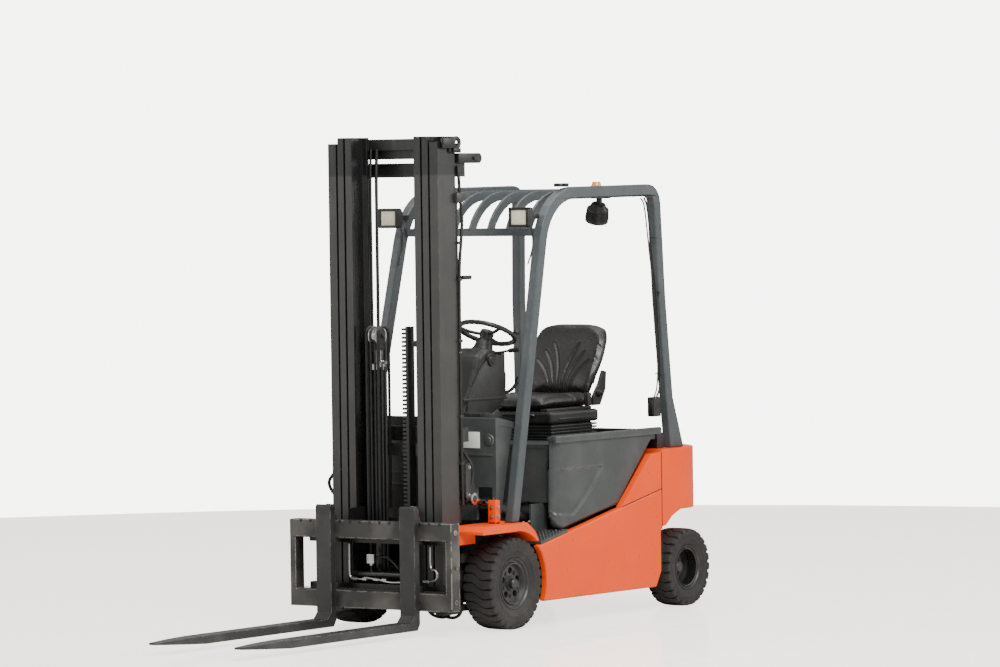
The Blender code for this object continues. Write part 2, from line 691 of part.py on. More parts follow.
# ---------------------------------------------------------------- controls and seat
def steering():
    """Column from the dash to the wheel, and the wheel with its knob."""
    hub = Vector(STEER_HUB)
    up = Vector((0.0, math.sin(STEER_TILT), math.cos(STEER_TILT)))
    foot = Vector((0.0, COLUMN_FOOT_Y, FLOOR_Z + 0.080))
    column = rod("column", foot, hub - up * 0.16, 0.075, 16, 0.065)
    neck = rod("neck", hub - up * 0.17, hub - up * 0.045, 0.050, 16, 0.040)
    base = box("base", (-0.105, 0.105), (0.030, 0.225), (FLOOR_Z + GAP, 0.800))
    cover = flat("cover", COLUMN_COVER, "yz", (-COVER_HALF, COVER_HALF))
    bevel(cover, 0.022, 2, 25.0)
    node(union(column, cover, neck, base), "steering_column", "black")

    centre = hub
    radius = STEER_WHEEL_D / 2 - 0.013
    place = Matrix.Translation(centre) @ Matrix.Rotation(-STEER_TILT, 4, "X")
    points = []
    for step in range(28):
        angle = math.tau * (step + 0.3) / 28
        points.append(place @ Vector((radius * math.cos(angle), radius * math.sin(angle), 0.0)))
    data = bpy.data.curves.new("ring", "CURVE")
    data.dimensions = "3D"
    data.bevel_depth = 0.013
    data.bevel_resolution = 2
    line = data.splines.new("POLY")
    line.points.add(len(points) - 1)
    for target, spot in zip(line.points, points):
        target.co = (*spot, 1.0)
    line.use_cyclic_u = True
    wire = bpy.data.objects.new("ring", data)
    bpy.context.scene.collection.objects.link(wire)
    ring = to_mesh("ring", wire)
    boss = rod("boss", centre - up * (0.045 - GAP), centre + up * 0.012, 0.034, 16)
    spokes = []
    for degrees in (92.0, 208.0, 332.0):
        angle = math.radians(degrees)
        way = Vector((math.cos(angle), math.sin(angle), 0.0))
        spokes.append(rod("spoke", place @ (way * 0.014 - Vector((0.0, 0.0, 0.018))),
                          place @ (way * (radius + 0.001)), 0.009, 10))
    grip = place @ Vector((radius * math.cos(0.6), radius * math.sin(0.6), 0.0))
    knob = rod("knob", grip, grip + up * 0.055, 0.018, 12)
    node(union(ring, boss, *spokes, knob), "steering_wheel", "black", centre)


def hood_and_seat():
    """Battery hood with the driver's seat on it, hinged along its rear edge."""
    hinge = (0.0, *HOOD_HINGE)
    half = RIM_IN - 0.006
    deck = box("deck", (-half, half), (HOOD_FRONT_Y, HOOD_HINGE[0] - 0.006),
               (DECK_Z - 0.020, DECK_Z))
    plinth = box("plinth", (-PLINTH_HALF, PLINTH_HALF), (0.720, 1.110), (DECK_Z - 0.005, PLINTH_TOP))
    node(union(deck, bevel(plinth, 0.012, 2)), "hood", "grey", hinge)

    base = box("base", (-PLATE_HALF, PLATE_HALF), (0.697, 1.130), (PLINTH_TOP + GAP, CUSHION_Z))
    node(bevel(base, 0.015, 2), "seat_base", "black", hinge)

    half = SEAT_W / 2
    cushion = box("cushion", (-half, half), (SEAT_FRONT_Y, SEAT_BACK_Y),
                  (CUSHION_Z + GAP, CUSHION_Z + CUSHION_H))
    node(bevel(cushion, 0.030, 2), "seat_cushion", "vinyl", hinge)

    lean = [(SEAT_BACK_Y - 0.045, CUSHION_Z + CUSHION_H + GAP), (SEAT_BACK_Y + 0.035,
            CUSHION_Z + CUSHION_H + GAP), (SEAT_BACK_Y + 0.190, BACK_TOP - 0.02),
            (SEAT_BACK_Y + 0.165, BACK_TOP), (SEAT_BACK_Y + 0.105, BACK_TOP - 0.01)]
    back = flat("back", lean, "yz", (-half, half))
    node(bevel(back, 0.018, 2, 30.0), "seat_back", "vinyl", hinge)


def front_deck():
    """Fixed deck in front of the hood, over the battery's front edge."""
    half = RIM_IN - GAP
    deck = box("deck", (-half, half), (0.390, HOOD_FRONT_Y - 0.006), (DECK_Z - 0.020, DECK_Z))
    wall = box("wall", (-half, half), (0.392, 0.412), (FLOOR_Z + GAP, DECK_Z - 0.010))
    rear = box("rear", (-half, half), (HOOD_HINGE[0] + 0.006, 1.440), (WEIGHT_TOP + GAP, DECK_Z + 0.010))
    lip = flat("lip", [(HOOD_FRONT_Y - 0.040, DECK_Z - 0.010), (HOOD_FRONT_Y - 0.040, DECK_Z - 0.034),
                       (HOOD_FRONT_Y + 0.030, DECK_Z - 0.034), (HOOD_FRONT_Y + 0.030, DECK_Z - 0.020 - GAP),
                       (HOOD_FRONT_Y - 0.008, DECK_Z - 0.020 - GAP), (HOOD_FRONT_Y - 0.008, DECK_Z - 0.010)],
               "yz", (-0.300, 0.300))
    union(deck, wall, lip)
    node(deck, "battery_bulkhead", "panel")
    node(rear, "rear_deck", "black")


# ---------------------------------------------------------------- mast
def upright(inner, outer, web):
    """One channel or I section, standing, as an outline of its cross-section."""
    front = MAST_FRONT_Y
    rear = MAST_REAR_Y
    web_in, web_out = web
    points = [(inner, front), (outer, front)]
    if web_out < outer:
        points += [(outer, front + FLANGE_T), (web_out, front + FLANGE_T),
                   (web_out, rear - FLANGE_T), (outer, rear - FLANGE_T)]
    points += [(outer, rear), (inner, rear)]
    if web_in > inner:
        thick = FLANGE_T + 0.001
        points += [(inner, rear - thick), (web_in, rear - thick),
                   (web_in, front + thick), (inner, front + thick)]
    return points


def stage(name, inner, outer, web, z):
    """Left and right uprights of one mast stage."""
    points = upright(inner, outer, web)
    left = flat(name, points, "xy", z)
    right = flat(name, [(-x, y) for x, y in points[::-1]], "xy", z)
    return left, right


def rollers(inner, outer, heights):
    """Rollers on both sides that run between the next stage's flanges."""
    made = []
    for label, side in SIDES:
        for z in heights:
            made.append(rod("roller", (side * inner, ROLLER_Y, z), (side * outer, ROLLER_Y, z),
                            ROLLER_R, 24))
    return made


def mast_outer():
    """Outer stage: fixed uprights, cross members, axle clamps and tilt lugs."""
    web = (MAST_HALF - WEB_T, MAST_HALF)
    left, right = stage("outer", OUTER_IN, MAST_HALF, web, (MAST_BOTTOM, OUTER_TOP))
    extra = [right]
    for z in ((0.210, 0.300), (0.930, 1.000), (2.230, 2.300)):
        extra.append(box("cross", (-MAST_HALF, MAST_HALF), OUTER_CROSS, z))
        for label, side in SIDES:
            extra.append(box("lug", pair(side, LIFT_X + LIFT_R + GAP, MAST_HALF - 0.001),
                             (MAST_REAR_Y - 0.010, OUTER_CROSS[1] - 0.002),
                             (z[0] + 0.002, z[1] - 0.002)))
    for label, side in SIDES:
        extra.append(box("foot", pair(side, LIFT_X - LIFT_R, MAST_HALF - 0.002),
                         (MAST_REAR_Y + 0.005, OUTER_CROSS[1]), (0.100, BARREL_Z[0] - GAP)))
        extra.append(box("tab", pair(side, OUTER_IN + 0.004, MAST_HALF - 0.004),
                         (MAST_REAR_Y - 0.012, MAST_REAR_Y + 0.020), (0.102, BARREL_Z[0] - 0.002)))
        inner = side * (MAST_HALF - 0.016)
        reach = [(MAST_REAR_Y - 0.014, 0.140), (0.0, 0.146), (0.0, 0.311), (MAST_REAR_Y - 0.014, 0.400)]
        extra.append(flat("clamp", reach, "yz", pair(side, MAST_HALF - 0.0165, MAST_HALF - 0.003)))
        extra.append(rod("eye", (inner - 0.0145, *TILT_PIVOT), (inner + 0.0145, *TILT_PIVOT), 0.084, 28))
        lug = [(MAST_REAR_Y - 0.016, 0.600), (TILT_EYE[0], TILT_EYE[1] - 0.028),
               (TILT_EYE[0] + 0.028, TILT_EYE[1]), (TILT_EYE[0], TILT_EYE[1] + 0.028),
               (MAST_REAR_Y - 0.016, 0.700)]
        extra.append(flat("tilt_lug", lug, "yz", pair(side, MAST_HALF - 0.0155, MAST_HALF - 0.003)))
        extra.append(rod("tilt_pin", (side * (MAST_HALF - 0.010), *TILT_EYE),
                         (side * (TILT_X + 0.020), *TILT_EYE), TILT_PIN_R))
    union(left, *extra)
    cut(left, rod("axle_hole", (-0.5, *TILT_PIVOT), (0.5, *TILT_PIVOT), AXLE_R + RUN, 28))
    node(left, "mast_outer", "mast", PIVOT)
    for label, side in SIDES:
        barrel = rod("barrel", (side * LIFT_X, LIFT_Y, BARREL_Z[0]), (side * LIFT_X, LIFT_Y, BARREL_Z[1]),
                     LIFT_R)
        bore = rod("bore", (side * LIFT_X, LIFT_Y, BARREL_Z[0] + 0.02),
                   (side * LIFT_X, LIFT_Y, BARREL_Z[1] + 0.1), LIFT_ROD_R + RUN)
        node(cut(barrel, bore), f"lift_cylinder_{label}", "steel", PIVOT)


def mast_middle():
    """Middle stage, raised by the two lift rods."""
    centre = (MIDDLE_IN + MIDDLE_OUT) / 2
    left, right = stage("middle", MIDDLE_IN, MIDDLE_OUT, (centre - 0.006, centre + 0.006),
                        (MAST_BOTTOM + 0.010, MAST_TOP))
    extra = [right]
    for z in ((0.150, 0.205), (2.320, 2.385)):
        extra.append(box("cross", (-MIDDLE_IN - 0.010, MIDDLE_IN + 0.010), MIDDLE_CROSS, z))
        for label, side in SIDES:
            extra.append(box("pad", pair(side, MIDDLE_IN + 0.002, MIDDLE_IN + 0.014),
                             (MAST_REAR_Y - 0.010, MIDDLE_CROSS[1] - 0.002),
                             (z[0] + 0.002, z[1] - 0.002)))
    for label, side in SIDES:
        extra.append(box("head", pair(side, MIDDLE_IN + 0.004, LIFT_X + LIFT_R),
                         (MAST_REAR_Y - 0.012, LIFT_Y + 0.020),
                         (ROD_HEAD[0], ROD_HEAD[1] - 0.001)))
        extra.append(rod("lift_rod", (side * LIFT_X, LIFT_Y, BARREL_Z[0] + 0.025),
                         (side * LIFT_X, LIFT_Y, ROD_HEAD[0] + 0.010), LIFT_ROD_R))
    extra += rollers(centre + 0.001, MAST_HALF - WEB_T - RUN, (0.190,))
    node(union(left, *extra), "mast_middle", "mast", PIVOT)


def mast_inner():
    """Inner stage, which carries the free-lift cylinder."""
    left, right = stage("inner", INNER_IN, INNER_OUT, (INNER_OUT - 0.012, INNER_OUT),
                        (MAST_BOTTOM + 0.020, MAST_TOP))
    extra = [right]
    for z in ((0.150, 0.230), (0.860, 0.920), (2.365, 2.420)):
        extra.append(box("cross", (-INNER_IN - 0.010, INNER_IN + 0.010), INNER_CROSS, z))
    extra.append(box("shelf", (FREE_X - 0.040, FREE_X + 0.040), (FREE_Y - 0.038, INNER_CROSS[1]),
                     (0.150, FREE_Z[0] - GAP)))
    extra.append(box("clip", (FREE_X - 0.030, FREE_X + 0.030),
                     (FREE_Y + FREE_R + GAP, INNER_CROSS[1]), (0.860, 0.920)))
    middle_web = (MIDDLE_IN + MIDDLE_OUT) / 2 - 0.006
    extra += rollers(INNER_OUT - 0.006, middle_web - RUN, (0.200,))
    node(union(left, *extra), "mast_inner", "mast", PIVOT)

    barrel = rod("barrel", (FREE_X, FREE_Y, FREE_Z[0]), (FREE_X, FREE_Y, FREE_Z[1]), FREE_R)
    bore = rod("bore", (FREE_X, FREE_Y, FREE_Z[0] + 0.02), (FREE_X, FREE_Y, FREE_Z[1] + 0.1),
               FREE_ROD_R + RUN)
    node(cut(barrel, bore), "freelift_cylinder", "steel", PIVOT)

    piston = rod("piston", (FREE_X, FREE_Y, FREE_Z[0] + 0.025), (FREE_X, FREE_Y, CROSSHEAD_Z),
                 FREE_ROD_R)
    block = box("block", (FREE_X - 0.045, FREE_X + 0.045), (FREE_Y - 0.030, FREE_Y + 0.030),
                (CROSSHEAD_Z - 0.030, CROSSHEAD_Z + 0.030))
    sheave = rod("sheave", (FREE_X - 0.018, FREE_Y, CROSSHEAD_Z + 0.060),
                 (FREE_X + 0.018, FREE_Y, CROSSHEAD_Z + 0.060), 0.055, 24)
    cheeks = []
    for x in (-0.045, 0.033):
        cheeks.append(box("cheek", (FREE_X + x, FREE_X + x + 0.012), (FREE_Y - 0.024, FREE_Y + 0.024),
                          (CROSSHEAD_Z, CROSSHEAD_Z + 0.090)))
    pin = rod("pin", (FREE_X - 0.040, FREE_Y, CROSSHEAD_Z + 0.060),
              (FREE_X + 0.040, FREE_Y, CROSSHEAD_Z + 0.060), 0.012, 12)
    node(union(piston, block, sheave, pin, *cheeks), "freelift_rod", "steel", PIVOT)


# ---------------------------------------------------------------- carriage and forks
def carriage():
    """Roller carriage, sideshift frame in front of it, and the two forks."""
    plates = []
    roller_end = INNER_OUT - 0.012 - RUN
    for label, side in SIDES:
        plate = box("plate", pair(side, CHEEK_X - 0.018, CHEEK_X), (BAR_Y[0] + 0.010, MAST_REAR_Y - 0.012),
                    (0.140, 0.610))
        plates.append(plate)
    plates += rollers(CHEEK_X - 0.010, roller_end, (0.205, 0.545))
    bars = []
    for z in BAR_Z:
        bars.append(box("bar", (-0.420, 0.420), BAR_Y, z))
    base = union(bars[0], bars[1], *plates)
    node(base, "carriage_base", "mast", PIVOT)

    frame_y = (CARRIAGE_FRONT_Y, BAR_Y[0] - GAP)
    frame = box("frame", (-CARRIAGE_HALF, CARRIAGE_HALF), frame_y, (CARRIAGE_BOTTOM, CARRIAGE_TOP))
    window = box("window", (-CARRIAGE_HALF + 0.034, CARRIAGE_HALF - 0.034), (-0.6, -0.3),
                 (CARRIAGE_BOTTOM + BAR_H, CARRIAGE_TOP - BAR_H))
    node(cut(frame, window), "sideshift_frame", "mast", PIVOT)

    for label, side in SIDES:
        heel = FORK_HEEL_Y
        face = CARRIAGE_FRONT_Y - GAP
        blade_top = FORK_BOTTOM + FORK_T
        outline = [(face, FORK_BOTTOM + 0.030), (face, FORK_TOP - 0.012), (heel + 0.008, FORK_TOP),
                   (heel, FORK_TOP - 0.010), (heel, blade_top + 0.030), (heel - 0.030, blade_top),
                   (FORK_TIP_Y + 0.300, blade_top), (FORK_TIP_Y, FORK_BOTTOM + 0.032),
                   (FORK_TIP_Y, FORK_BOTTOM + 0.022), (FORK_TIP_Y + 0.350, FORK_BOTTOM),
                   (face - 0.020, FORK_BOTTOM)]
        half = FORK_W / 2
        fork = flat("fork", outline, "yz", (side * FORK_X - half, side * FORK_X + half))
        hook = flat("hook", [(face - 0.02, CARRIAGE_TOP + GAP), (face + 0.030, CARRIAGE_TOP + GAP),
                             (face + 0.020, CARRIAGE_TOP + 0.030), (face - 0.02, CARRIAGE_TOP + 0.050)],
                    "yz", (side * FORK_X - half * 0.8, side * FORK_X + half * 0.8))
        union(fork, hook)
        taper = 0.022
        trims = []
        for way in (1, -1):
            edge = side * FORK_X + way * half
            corner = [(edge + way * 0.01, FORK_TIP_Y - 0.01), (edge - way * taper, FORK_TIP_Y - 0.01),
                      (edge - way * taper, FORK_TIP_Y), (edge + way * 0.002, FORK_TIP_Y + 0.180),
                      (edge + way * 0.01, FORK_TIP_Y + 0.180)]
            trims.append(flat("trim", corner, "xy", (0.0, 0.2)))
        cut(fork, *trims)
        node(fork, f"fork_{label}", "steel", PIVOT)


# ---------------------------------------------------------------- tilt cylinders
def tilt_cylinders():
    """Each barrel is pinned to the frame, and its rod's eye sits round the mast's pin."""
    base = Vector(TILT_BASE)
    eye = Vector(TILT_EYE)
    along = (eye - base).normalized()
    length = (eye - base).length
    for label, side in SIDES:
        x = side * TILT_X
        half = TILT_EYE_W / 2

        def at(distance):
            spot = base + along * distance
            return (x, spot.x, spot.y)

        barrel = rod("barrel", at(0.020), at(length - 0.115), TILT_BARREL_R)
        tail = rod("tail", (x - half, *TILT_BASE), (x + half, *TILT_BASE), 0.030)
        bore = rod("bore", at(0.060), at(length), TILT_ROD_R + RUN)
        hole = rod("hole", (x - 0.05, *TILT_BASE), (x + 0.05, *TILT_BASE), TILT_PIN_R + RUN)
        union(barrel, tail)
        node(cut(barrel, bore, hole), f"tilt_cylinder_{label}", "black", (0.0, *TILT_BASE))

        shaft = rod("shaft", at(0.150), at(length - 0.020), TILT_ROD_R)
        ring = rod("ring", (x - half, *TILT_EYE), (x + half, *TILT_EYE), 0.030)
        opening = rod("opening", (x - 0.05, *TILT_EYE), (x + 0.05, *TILT_EYE),
                      TILT_PIN_R + TILT_EYE_CLEAR)
        node(cut(union(shaft, ring), opening), f"tilt_rod_{label}", "chrome", (0.0, *TILT_EYE))


wheels()
drive_axle()
steer_axle()
chassis()
skirts()
fenders()
floor_plate()
side_panels()
counterweight()
front_cowl()
guard_sides()
guard_roof()
lamps()
steering()
hood_and_seat()
front_deck()
mast_outer()
mast_middle()
mast_inner()
carriage()
tilt_cylinders()
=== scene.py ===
"""Looks of a four-wheel electric counterbalance forklift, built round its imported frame.

Metres. Places are measured from the ground point under the middle of the front axle:
+X to the truck's left, +Y to its rear, +Z up. spot() turns them into the frame's own.
"""
import json
import math

import bmesh
import bpy
from mathutils import Matrix, Vector

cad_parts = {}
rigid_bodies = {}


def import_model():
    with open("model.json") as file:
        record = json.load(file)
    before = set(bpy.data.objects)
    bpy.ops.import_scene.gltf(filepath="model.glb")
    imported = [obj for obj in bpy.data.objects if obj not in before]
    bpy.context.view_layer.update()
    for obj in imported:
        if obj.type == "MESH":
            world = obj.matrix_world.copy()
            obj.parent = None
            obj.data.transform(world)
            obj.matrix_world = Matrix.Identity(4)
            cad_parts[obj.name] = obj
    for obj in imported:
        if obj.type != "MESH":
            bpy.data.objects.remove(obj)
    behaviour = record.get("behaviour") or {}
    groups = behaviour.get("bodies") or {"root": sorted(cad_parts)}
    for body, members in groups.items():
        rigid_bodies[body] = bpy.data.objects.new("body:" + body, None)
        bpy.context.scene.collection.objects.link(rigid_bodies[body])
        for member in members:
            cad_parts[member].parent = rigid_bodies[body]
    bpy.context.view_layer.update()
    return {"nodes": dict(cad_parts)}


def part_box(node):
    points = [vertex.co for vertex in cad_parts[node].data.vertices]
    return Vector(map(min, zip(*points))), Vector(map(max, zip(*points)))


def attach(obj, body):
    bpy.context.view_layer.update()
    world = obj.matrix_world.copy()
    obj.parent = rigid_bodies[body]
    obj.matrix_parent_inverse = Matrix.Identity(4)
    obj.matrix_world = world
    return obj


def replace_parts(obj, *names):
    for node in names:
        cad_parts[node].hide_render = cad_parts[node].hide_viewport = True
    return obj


for old in list(bpy.data.objects):
    bpy.data.objects.remove(old)
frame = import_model()

low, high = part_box("front_tyre_left")
AXLE_Y = (low.y + high.y) / 2
SIDES = (("left", 1), ("right", -1))


def spot(x, y, z):
    return Vector((x, y + AXLE_Y, z))


def local_box(node):
    """A CAD node's box, with Y measured from the front axle."""
    a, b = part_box(node)
    return a - Vector((0, AXLE_Y, 0)), b - Vector((0, AXLE_Y, 0))


def between(side, a, b):
    """The stretch of X from a to b on one side of the truck."""
    return tuple(sorted((side * a, side * b)))


def around(radius, angle):
    """Where a point on a circle about the X axis stands from the circle's centre."""
    return Vector((0, radius * math.cos(angle), radius * math.sin(angle)))


def hang(name, data):
    """A new object in the scene."""
    made = bpy.data.objects.new(name, data)
    bpy.context.scene.collection.objects.link(made)
    return made


def mesh_of(bm, name):
    bmesh.ops.recalc_face_normals(bm, faces=bm.faces)
    data = bpy.data.meshes.new(name)
    bm.to_mesh(data)
    bm.free()
    return data


def applied(thing):
    """An object's mesh with its modifiers applied."""
    bpy.context.view_layer.update()
    graph = bpy.context.evaluated_depsgraph_get()
    return bpy.data.meshes.new_from_object(thing.evaluated_get(graph))


def join_rings(bm, rings, closed=True):
    """Faces from each ring of vertices to the next, and from the last to the first if closed."""
    following = rings[1:] + rings[:1] if closed else rings[1:]
    for a, b in zip(rings, following):
        for k in range(len(a)):
            n = (k + 1) % len(a)
            bm.faces.new((a[k], a[n], b[n], b[k]))


# ---------------------------------------------------------------- camera, light, floor
def camera():
    """A long lens from the front left, a little above the driver's head."""
    azimuth, pitch, roll = 0.6087015, 0.0313113, 0.0136119
    forward = Vector((-math.sin(azimuth) * math.cos(pitch),
                      math.cos(azimuth) * math.cos(pitch), -math.sin(pitch)))
    right = Vector((math.cos(azimuth), math.sin(azimuth), 0))
    down = forward.cross(right)
    across = math.cos(roll) * right + math.sin(roll) * down
    below = -math.sin(roll) * right + math.cos(roll) * down
    data = bpy.data.cameras.new("camera")
    data.lens, data.sensor_width = 180.25, 36.0
    data.clip_end = 200.0
    view = hang("camera", data)
    turn = Matrix((across, -below, -forward)).transposed()
    view.matrix_world = Matrix.Translation(spot(14.506, -20.173, 2.2277)) @ turn.to_4x4()
    bpy.context.scene.camera = view


def softbox(name, place, aim, size, power):
    data = bpy.data.lights.new(name, "AREA")
    data.shape, data.size, data.size_y = "RECTANGLE", size[0], size[1]
    data.energy = power
    lamp = hang(name, data)
    lamp.location = place
    lamp.rotation_euler = (Vector(aim) - Vector(place)).to_track_quat("-Z", "Y").to_euler()


FLOOR_RADIUS = 9.0


def studio():
    """Pale surroundings, four soft lamps, and a glossy floor that glows for the camera only."""
    world = bpy.data.worlds.new("studio")
    bpy.context.scene.world = world
    world.use_nodes = True
    nodes, links = world.node_tree.nodes, world.node_tree.links
    back = nodes["Background"]
    back.inputs["Color"].default_value = (1.0, 0.99, 0.965, 1)
    seen = nodes.new("ShaderNodeLightPath")
    level = nodes.new("ShaderNodeMapRange")
    level.inputs["To Min"].default_value, level.inputs["To Max"].default_value = 0.55, 6.5
    links.new(seen.outputs["Is Camera Ray"], level.inputs["Value"])
    links.new(level.outputs["Result"], back.inputs["Strength"])
    softbox("key", (6.0, -3.5, 6.5), (0, 0.6, 0.8), (4, 4), 980)
    softbox("top", (0.0, 0.5, 7.0), (0, 0.5, 0), (6, 6), 420)
    softbox("side", (6.5, 6.0, 4.5), (0, 0.8, 0.8), (4, 4), 230)
    softbox("fill", (-6.0, -6.0, 4.0), (0, 0.2, 1), (5, 4), 150)

    bpy.ops.mesh.primitive_circle_add(vertices=256, radius=FLOOR_RADIUS, fill_type="NGON")
    floor = bpy.context.object
    floor.name = "floor"
    made, nodes, links, shader = blank("floor_paint")
    place = coordinates(nodes)
    cloud = noise_node(nodes, links, place, 0.6, 4)
    grain = noise_node(nodes, links, place, 9.0, 5)
    tint = ramp(nodes, links, cloud, ((0.3, (0.80, 0.77, 0.71)), (0.7, (0.90, 0.88, 0.83))))
    links.new(tint, shader.inputs["Base Color"])
    gloss = ramp(nodes, links, grain, ((0.35, (0.07,) * 3), (0.7, (0.20,) * 3)))
    links.new(gloss, shader.inputs["Roughness"])
    glow = nodes.new("ShaderNodeLightPath")
    lift = nodes.new("ShaderNodeMath")
    lift.operation = "MULTIPLY"
    lift.inputs[1].default_value = 1.9
    links.new(glow.outputs["Is Camera Ray"], lift.inputs[0])
    links.new(lift.outputs[0], shader.inputs["Emission Strength"])
    shader.inputs["Emission Color"].default_value = (1.0, 0.97, 0.90, 1)
    floor.data.materials.append(made)


# ---------------------------------------------------------------- materials
def blank(name):
    made = bpy.data.materials.new(name)
    made.use_nodes = True
    nodes, links = made.node_tree.nodes, made.node_tree.links
    return made, nodes, links, nodes["Principled BSDF"]


def coordinates(nodes):
    return nodes.new("ShaderNodeTexCoord").outputs["Object"]


def noise_node(nodes, links, place, scale, detail=4, stretch=None):
    if stretch:
        mapping = nodes.new("ShaderNodeMapping")
        mapping.inputs["Scale"].default_value = stretch
        links.new(place, mapping.inputs["Vector"])
        place = mapping.outputs["Vector"]
    made = nodes.new("ShaderNodeTexNoise")
    made.inputs["Scale"].default_value = scale
    made.inputs["Detail"].default_value = detail
    links.new(place, made.inputs["Vector"])
    return made.outputs["Fac"]


def ramp(nodes, links, value, stops):
    made = nodes.new("ShaderNodeValToRGB")
    first, last = made.color_ramp.elements
    first.position, first.color = stops[0][0], (*stops[0][1], 1)
    last.position, last.color = stops[1][0], (*stops[1][1], 1)
    links.new(value, made.inputs["Fac"])
    return made.outputs["Color"]


def mix(nodes, links, factor, first, second):
    made = nodes.new("ShaderNodeMix")
    made.data_type = "RGBA"
    links.new(factor, made.inputs["Factor"])
    for socket, value in ((made.inputs["A"], first), (made.inputs["B"], second)):
        if isinstance(value, tuple):
            socket.default_value = (*value, 1)
        else:
            links.new(value, socket)
    return made.outputs["Result"]


def edge_mask(nodes, links, place, radius, amount):
    """White along the mesh's edges, broken up by noise."""
    bevel = nodes.new("ShaderNodeBevel")
    bevel.samples = 4
    bevel.inputs["Radius"].default_value = radius
    real = nodes.new("ShaderNodeNewGeometry")
    dot = nodes.new("ShaderNodeVectorMath")
    dot.operation = "DOT_PRODUCT"
    links.new(bevel.outputs["Normal"], dot.inputs[0])
    links.new(real.outputs["Normal"], dot.inputs[1])
    rim = ramp(nodes, links, dot.outputs["Value"], ((0.80, (1, 1, 1)), (0.97, (0, 0, 0))))
    patch = ramp(nodes, links, noise_node(nodes, links, place, 22.0, 6),
                 ((1.0 - amount, (0, 0, 0)), (1.06 - amount, (1, 1, 1))))
    both = nodes.new("ShaderNodeMath")
    both.operation = "MULTIPLY"
    links.new(rim, both.inputs[0])
    links.new(patch, both.inputs[1])
    return both.outputs["Value"]


def finish_of(name, colour, rough, metal=0.0, grain=260.0, bump=0.05, coat=0.0,
              variation=0.12, dust=0.0, wear=None, stretch=None, gloss=0.5, black_above=None):
    """A painted, moulded or bare surface: tint and gloss that vary, fine relief, dust, worn edges.

    wear is (edge radius, amount, colour underneath), and above the height that the last argument
    gives it is black.
    """
    made, nodes, links, shader = blank(name)
    place = coordinates(nodes)
    cloud = noise_node(nodes, links, place, 3.5, 6, stretch)
    darker = tuple(c * (1 - variation) for c in colour)
    lighter = tuple(min(1.0, c * (1 + variation)) for c in colour)
    tint = ramp(nodes, links, cloud, ((0.32, darker), (0.68, lighter)))
    if dust:
        film = ramp(nodes, links, noise_node(nodes, links, place, 6.0, 8),
                    ((0.45, (0, 0, 0)), (0.85, (dust,) * 3)))
        tint = mix(nodes, links, film, tint, (0.34, 0.31, 0.27))
    mottle = noise_node(nodes, links, place, 38.0, 5, stretch)
    low, high = max(0.02, rough - 0.08), min(1.0, rough + 0.10)
    polish = ramp(nodes, links, mottle, ((0.3, (low,) * 3), (0.7, (high,) * 3)))
    shader.inputs["Metallic"].default_value = metal
    if wear:
        worn = edge_mask(nodes, links, place, wear[0], wear[1])
        tint = mix(nodes, links, worn, tint, wear[2])
    # Black above the given height.
    if black_above:
        split = nodes.new("ShaderNodeSeparateXYZ")
        links.new(place, split.inputs[0])
        climb = nodes.new("ShaderNodeMapRange")
        climb.inputs["From Min"].default_value = black_above
        climb.inputs["From Max"].default_value = black_above + 0.012
        links.new(split.outputs["Z"], climb.inputs["Value"])
        tint = mix(nodes, links, climb.outputs["Result"], tint, (0.006, 0.006, 0.006))
    links.new(tint, shader.inputs["Base Color"])
    links.new(polish, shader.inputs["Roughness"])
    shader.inputs["Specular IOR Level"].default_value = gloss
    shader.inputs["Coat Weight"].default_value = coat
    shader.inputs["Coat Roughness"].default_value = 0.12
    relief = nodes.new("ShaderNodeBump")
    relief.inputs["Strength"].default_value = bump
    relief.inputs["Distance"].default_value = 0.002
    links.new(noise_node(nodes, links, place, grain, 3), relief.inputs["Height"])
    links.new(relief.outputs["Normal"], shader.inputs["Normal"])
    return made
